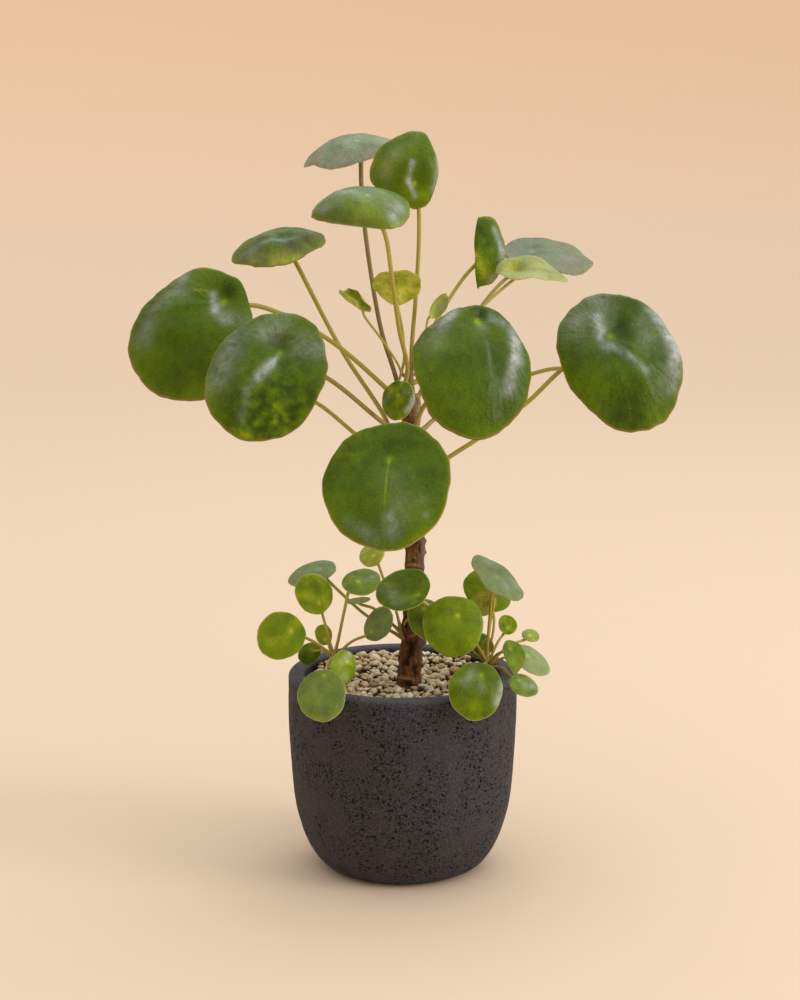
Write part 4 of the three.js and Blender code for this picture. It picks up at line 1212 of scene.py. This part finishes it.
shoots = [
    dict(node="side_shoot", stem=[(4, -8, 141), (0.2, -10.5, 146), (-1.2, -11.5, 153)], radius=1.5, leaves=[
        small((-51, 18, 181.5), (-45, 64, -56), (32, 28), 5.5, root=(0.5, -9.5, 144.5), stalk=1.05,
              route=[(-22, 2, 156), (-33, 9, 164)], tone=0.42, bloom=0.36),
        small((-26.6, 3, 165.8), (-83, 83, 79), (15.5, 15.5), 3.5, root=(-0.3, -10.5, 148), stalk=1,
              dome=-0.7, route=[(-17, -2, 161)], tone=0.5, tan=0.8),
        small((-17.8, 22, 189), (-53, 45, -105), (25, 17), 5, route=[(-5, 4, 162), (-12, 15, 177)],
              tone=0.76, bloom=0.05),
        small((13, -24, 165.8), (14, 39, 26), (31, 25), 6.5, dome=4, lumps=[(3, -3, 3, -0.8)],
              route=[(4, -18, 159)], tone=0.34, bloom=0.05, patches=[(4, -4, 4, -0.14)],
              blooms=[(14, -6, 3, 0.5)]),
    ]),
    dict(node="plantlet_left", stem=[(-43, -10, 84), (-43, -10, 115), (-42, -10, 135)], radius=2.0, leaves=[
        small((-50.4, -6, 165.5), (-3, 23, -150), (26.5, 22.5), 7, dome=1, tone=0.64, mottle=0.2,
              patches=[(6, 4, 4, 0.08), (12, -3, 4, -0.1)]),
        small((-66.5, -25, 153), (-8, 27, -67), (30, 30), 7, stalk=1, tone=0.52,
              patches=[(3, -6, 5, -0.08), (12, 3, 5, 0.08)]),
        small((-45.7, -66, 136.3), (-1, 24, -5), (31, 28.5), 11.5, quilt=0.2, tone=0.37, bloom=0.12,
              streaky=0.2),
        small((-32.7, -45, 139), (43, 20, -48), (23, 18.5), 4, dimple=1.2, folds=[(0, -0.8, 20, 0.2, 1)],
              tone=0.58,
              blooms=[(-5, -1, 1.8, 0.9), (-1, -2.4, 1.7, 0.8), (3, -3.4, 1.7, 0.6), (9, 4, 2.4, 0.4)]),
        small((-55.6, 4, 134), (5, 38, -41), (16.5, 13), 2, tone=0.38, patches=[(5, 4, 4, -0.12)]),
        small((-26.7, -8, 179.6), (-11, 60, 118), (24, 24.5), 2, stalk=1, dome=1,
              folds=[(14, -0.7, 9, 0.3, 1), (-14, -0.7, 9, 0.3, 1)],
              route=[(-39.5, -10, 141), (-34.6, -10, 164), (-32, -9.5, 174)], tone=0.48, bloom=0.08,
              blooms=[(5, 0, 2, 0.4), (9, 1, 2, 0.4)]),
        small((-18.8, -18, 151), (-44, 30, 163), (23, 22), 6, tone=0.39, bloom=0.2),
        small((-47, -2, 141.7), (-12, 19, -159), (13, 11), 3.5, fold=35, tone=0.7),
    ]),
    dict(node="plantlet_right", stem=[(49.6, -5, 84), (49.6, -5, 115), (51, -4, 129)], radius=2.1, leaves=[
        small((32.4, -40, 166), (6, 20, -23), (37, 36.5), 6.5, stalk=1, dome=3, dimple=1, tone=0.44,
              patches=[(-3, -9, 6, -0.09), (12, -9, 5, -0.07), (10, 8, 8, 0.05)]),
        small((45.8, -68, 137), (11, 18, -23), (34.5, 32.5), 9.5, stalk=1, dome=3, dimple=1, tone=0.33,
              patches=[(18, 2, 9, 0.08), (-3, -6, 5, -0.05)],
              blooms=[(1, 14, 2.4, 0.85, 12, 14), (0, -5, 3, 0.4, 7, -8), (6.5, 1.6, 3, 0.3)]),
        small((9.2, -44, 179.7), (-18, 54, -110), (33, 34), 11, dome=1, lumps=[(12, 2, 4, -0.8)],
              route=[(31, -20, 150), (20, -31, 166)], tone=0.32,
              patches=[(16, -8, 6, -0.1), (4, 3, 5, 0.08)],
              blooms=[(14, 6, 3, 0.45), (8, 10, 4, 0.3), (20, 4, 5, 0.2)]),
        small((56.3, -20, 185.3), (58, 50, 15), (38.5, 33), 1, stalk=1, dimple=1.5, ripple=0.6,
              route=[(53, -8, 160)], tone=0.34, bloom=0.27, blush=0.7, pale=0.2,
              patches=[(-6, 2, 4, -0.16)], blooms=[(8, -3, 4, 0.35), (14, 5, 5, 0.3), (-10, 6, 5, 0.25)]),
        small((53.1, 15, 169.5), (10, 27, -122), (32, 27), 0, route=[(56, 4, 152)], tone=0.47),
        small((54.8, 0, 167.1), (197, 16, 67), (18.5, 19), 6.5, dome=1, fold=6, tone=0.5, mottle=0.15),
        small((64.2, -35, 144.2), (43, 35, 19), (24, 19), 6.3, dome=1.3, dimple=1.5, rollBack=(3.5, 8, 9.7),
              tone=0.4, pale=0.9, patches=[(-4, -4, 4, -0.1)]),
        small((75.9, -10, 134), (33, 48, 29), (26.5, 19.5), 3.5, dome=1, tone=0.55, bloom=0.42),
        small((68.7, -50, 129.3), (19, 54, 30), (19, 16.5), 3.7, dome=1, tone=0.42, bloom=0.1,
              blooms=[(8, 4, 2.4, 0.9), (4, 0, 3, 0.3)]),
        small((77.9, 10, 141.6), (29, 58, 111), (12.5, 11), 2, dome=1, tone=0.66, bloom=0.15, mottle=0.15),
        small((64.5, 5, 147.3), (14, 33, 179), (13, 12), 2, dome=-1, tone=0.55, mottle=0.15),
        small((52.3, -2, 135.5), (-22, -5, 176), (10, 7.5), 2.7, dome=-1.5, tone=0.8, bloom=0.15),
        small((48.3, 8, 134), (-17, 35, -143), (18, 16), 3, tone=0.35),
    ]),
]


def makeShoot(shoot, seed):
    bm = bmesh.new()
    layers = leafLayers(bm)
    rings = growTube(bm, curveThrough(shoot["stem"], 0.8),
                     lambda share: shoot["radius"] * (1 - 0.25 * share + 0.07 * math.sin(34 * share)), 20)
    paintStalk(rings, layers, lambda share: 0.3, 0.4)
    crown = Vector(shoot["stem"][-1])
    for i, leaf in enumerate(shoot["leaves"]):
        leaf["seed"] = seed + 2.3 * i
        root = Vector(leaf.get("root", crown - Vector((0, 0, 0.4 * (i + 2)))))
        navel = Vector(leaf["navel"])
        arch = crown.lerp(navel, 0.5)
        arch.z += 0.03 * math.hypot(navel.x - crown.x, navel.y - crown.y)
        points = [root, *leaf.get("route", [arch]), *toNavel(leaf, 2)]
        growPetiole(bm, layers, leaf, points, 1.2, 10)
    for leaf in shoot["leaves"]:
        growBlade(bm, layers, leaf, "small")
    return finishPiece(bm, shoot["node"] + "_foliage", leafMaterials["plantlet"], "plantlet", shoot["node"])


for i, shoot in enumerate(shoots):
    makeShoot(shoot, 40 + 30 * i)
clearPatterns()
print("plantlets ready")
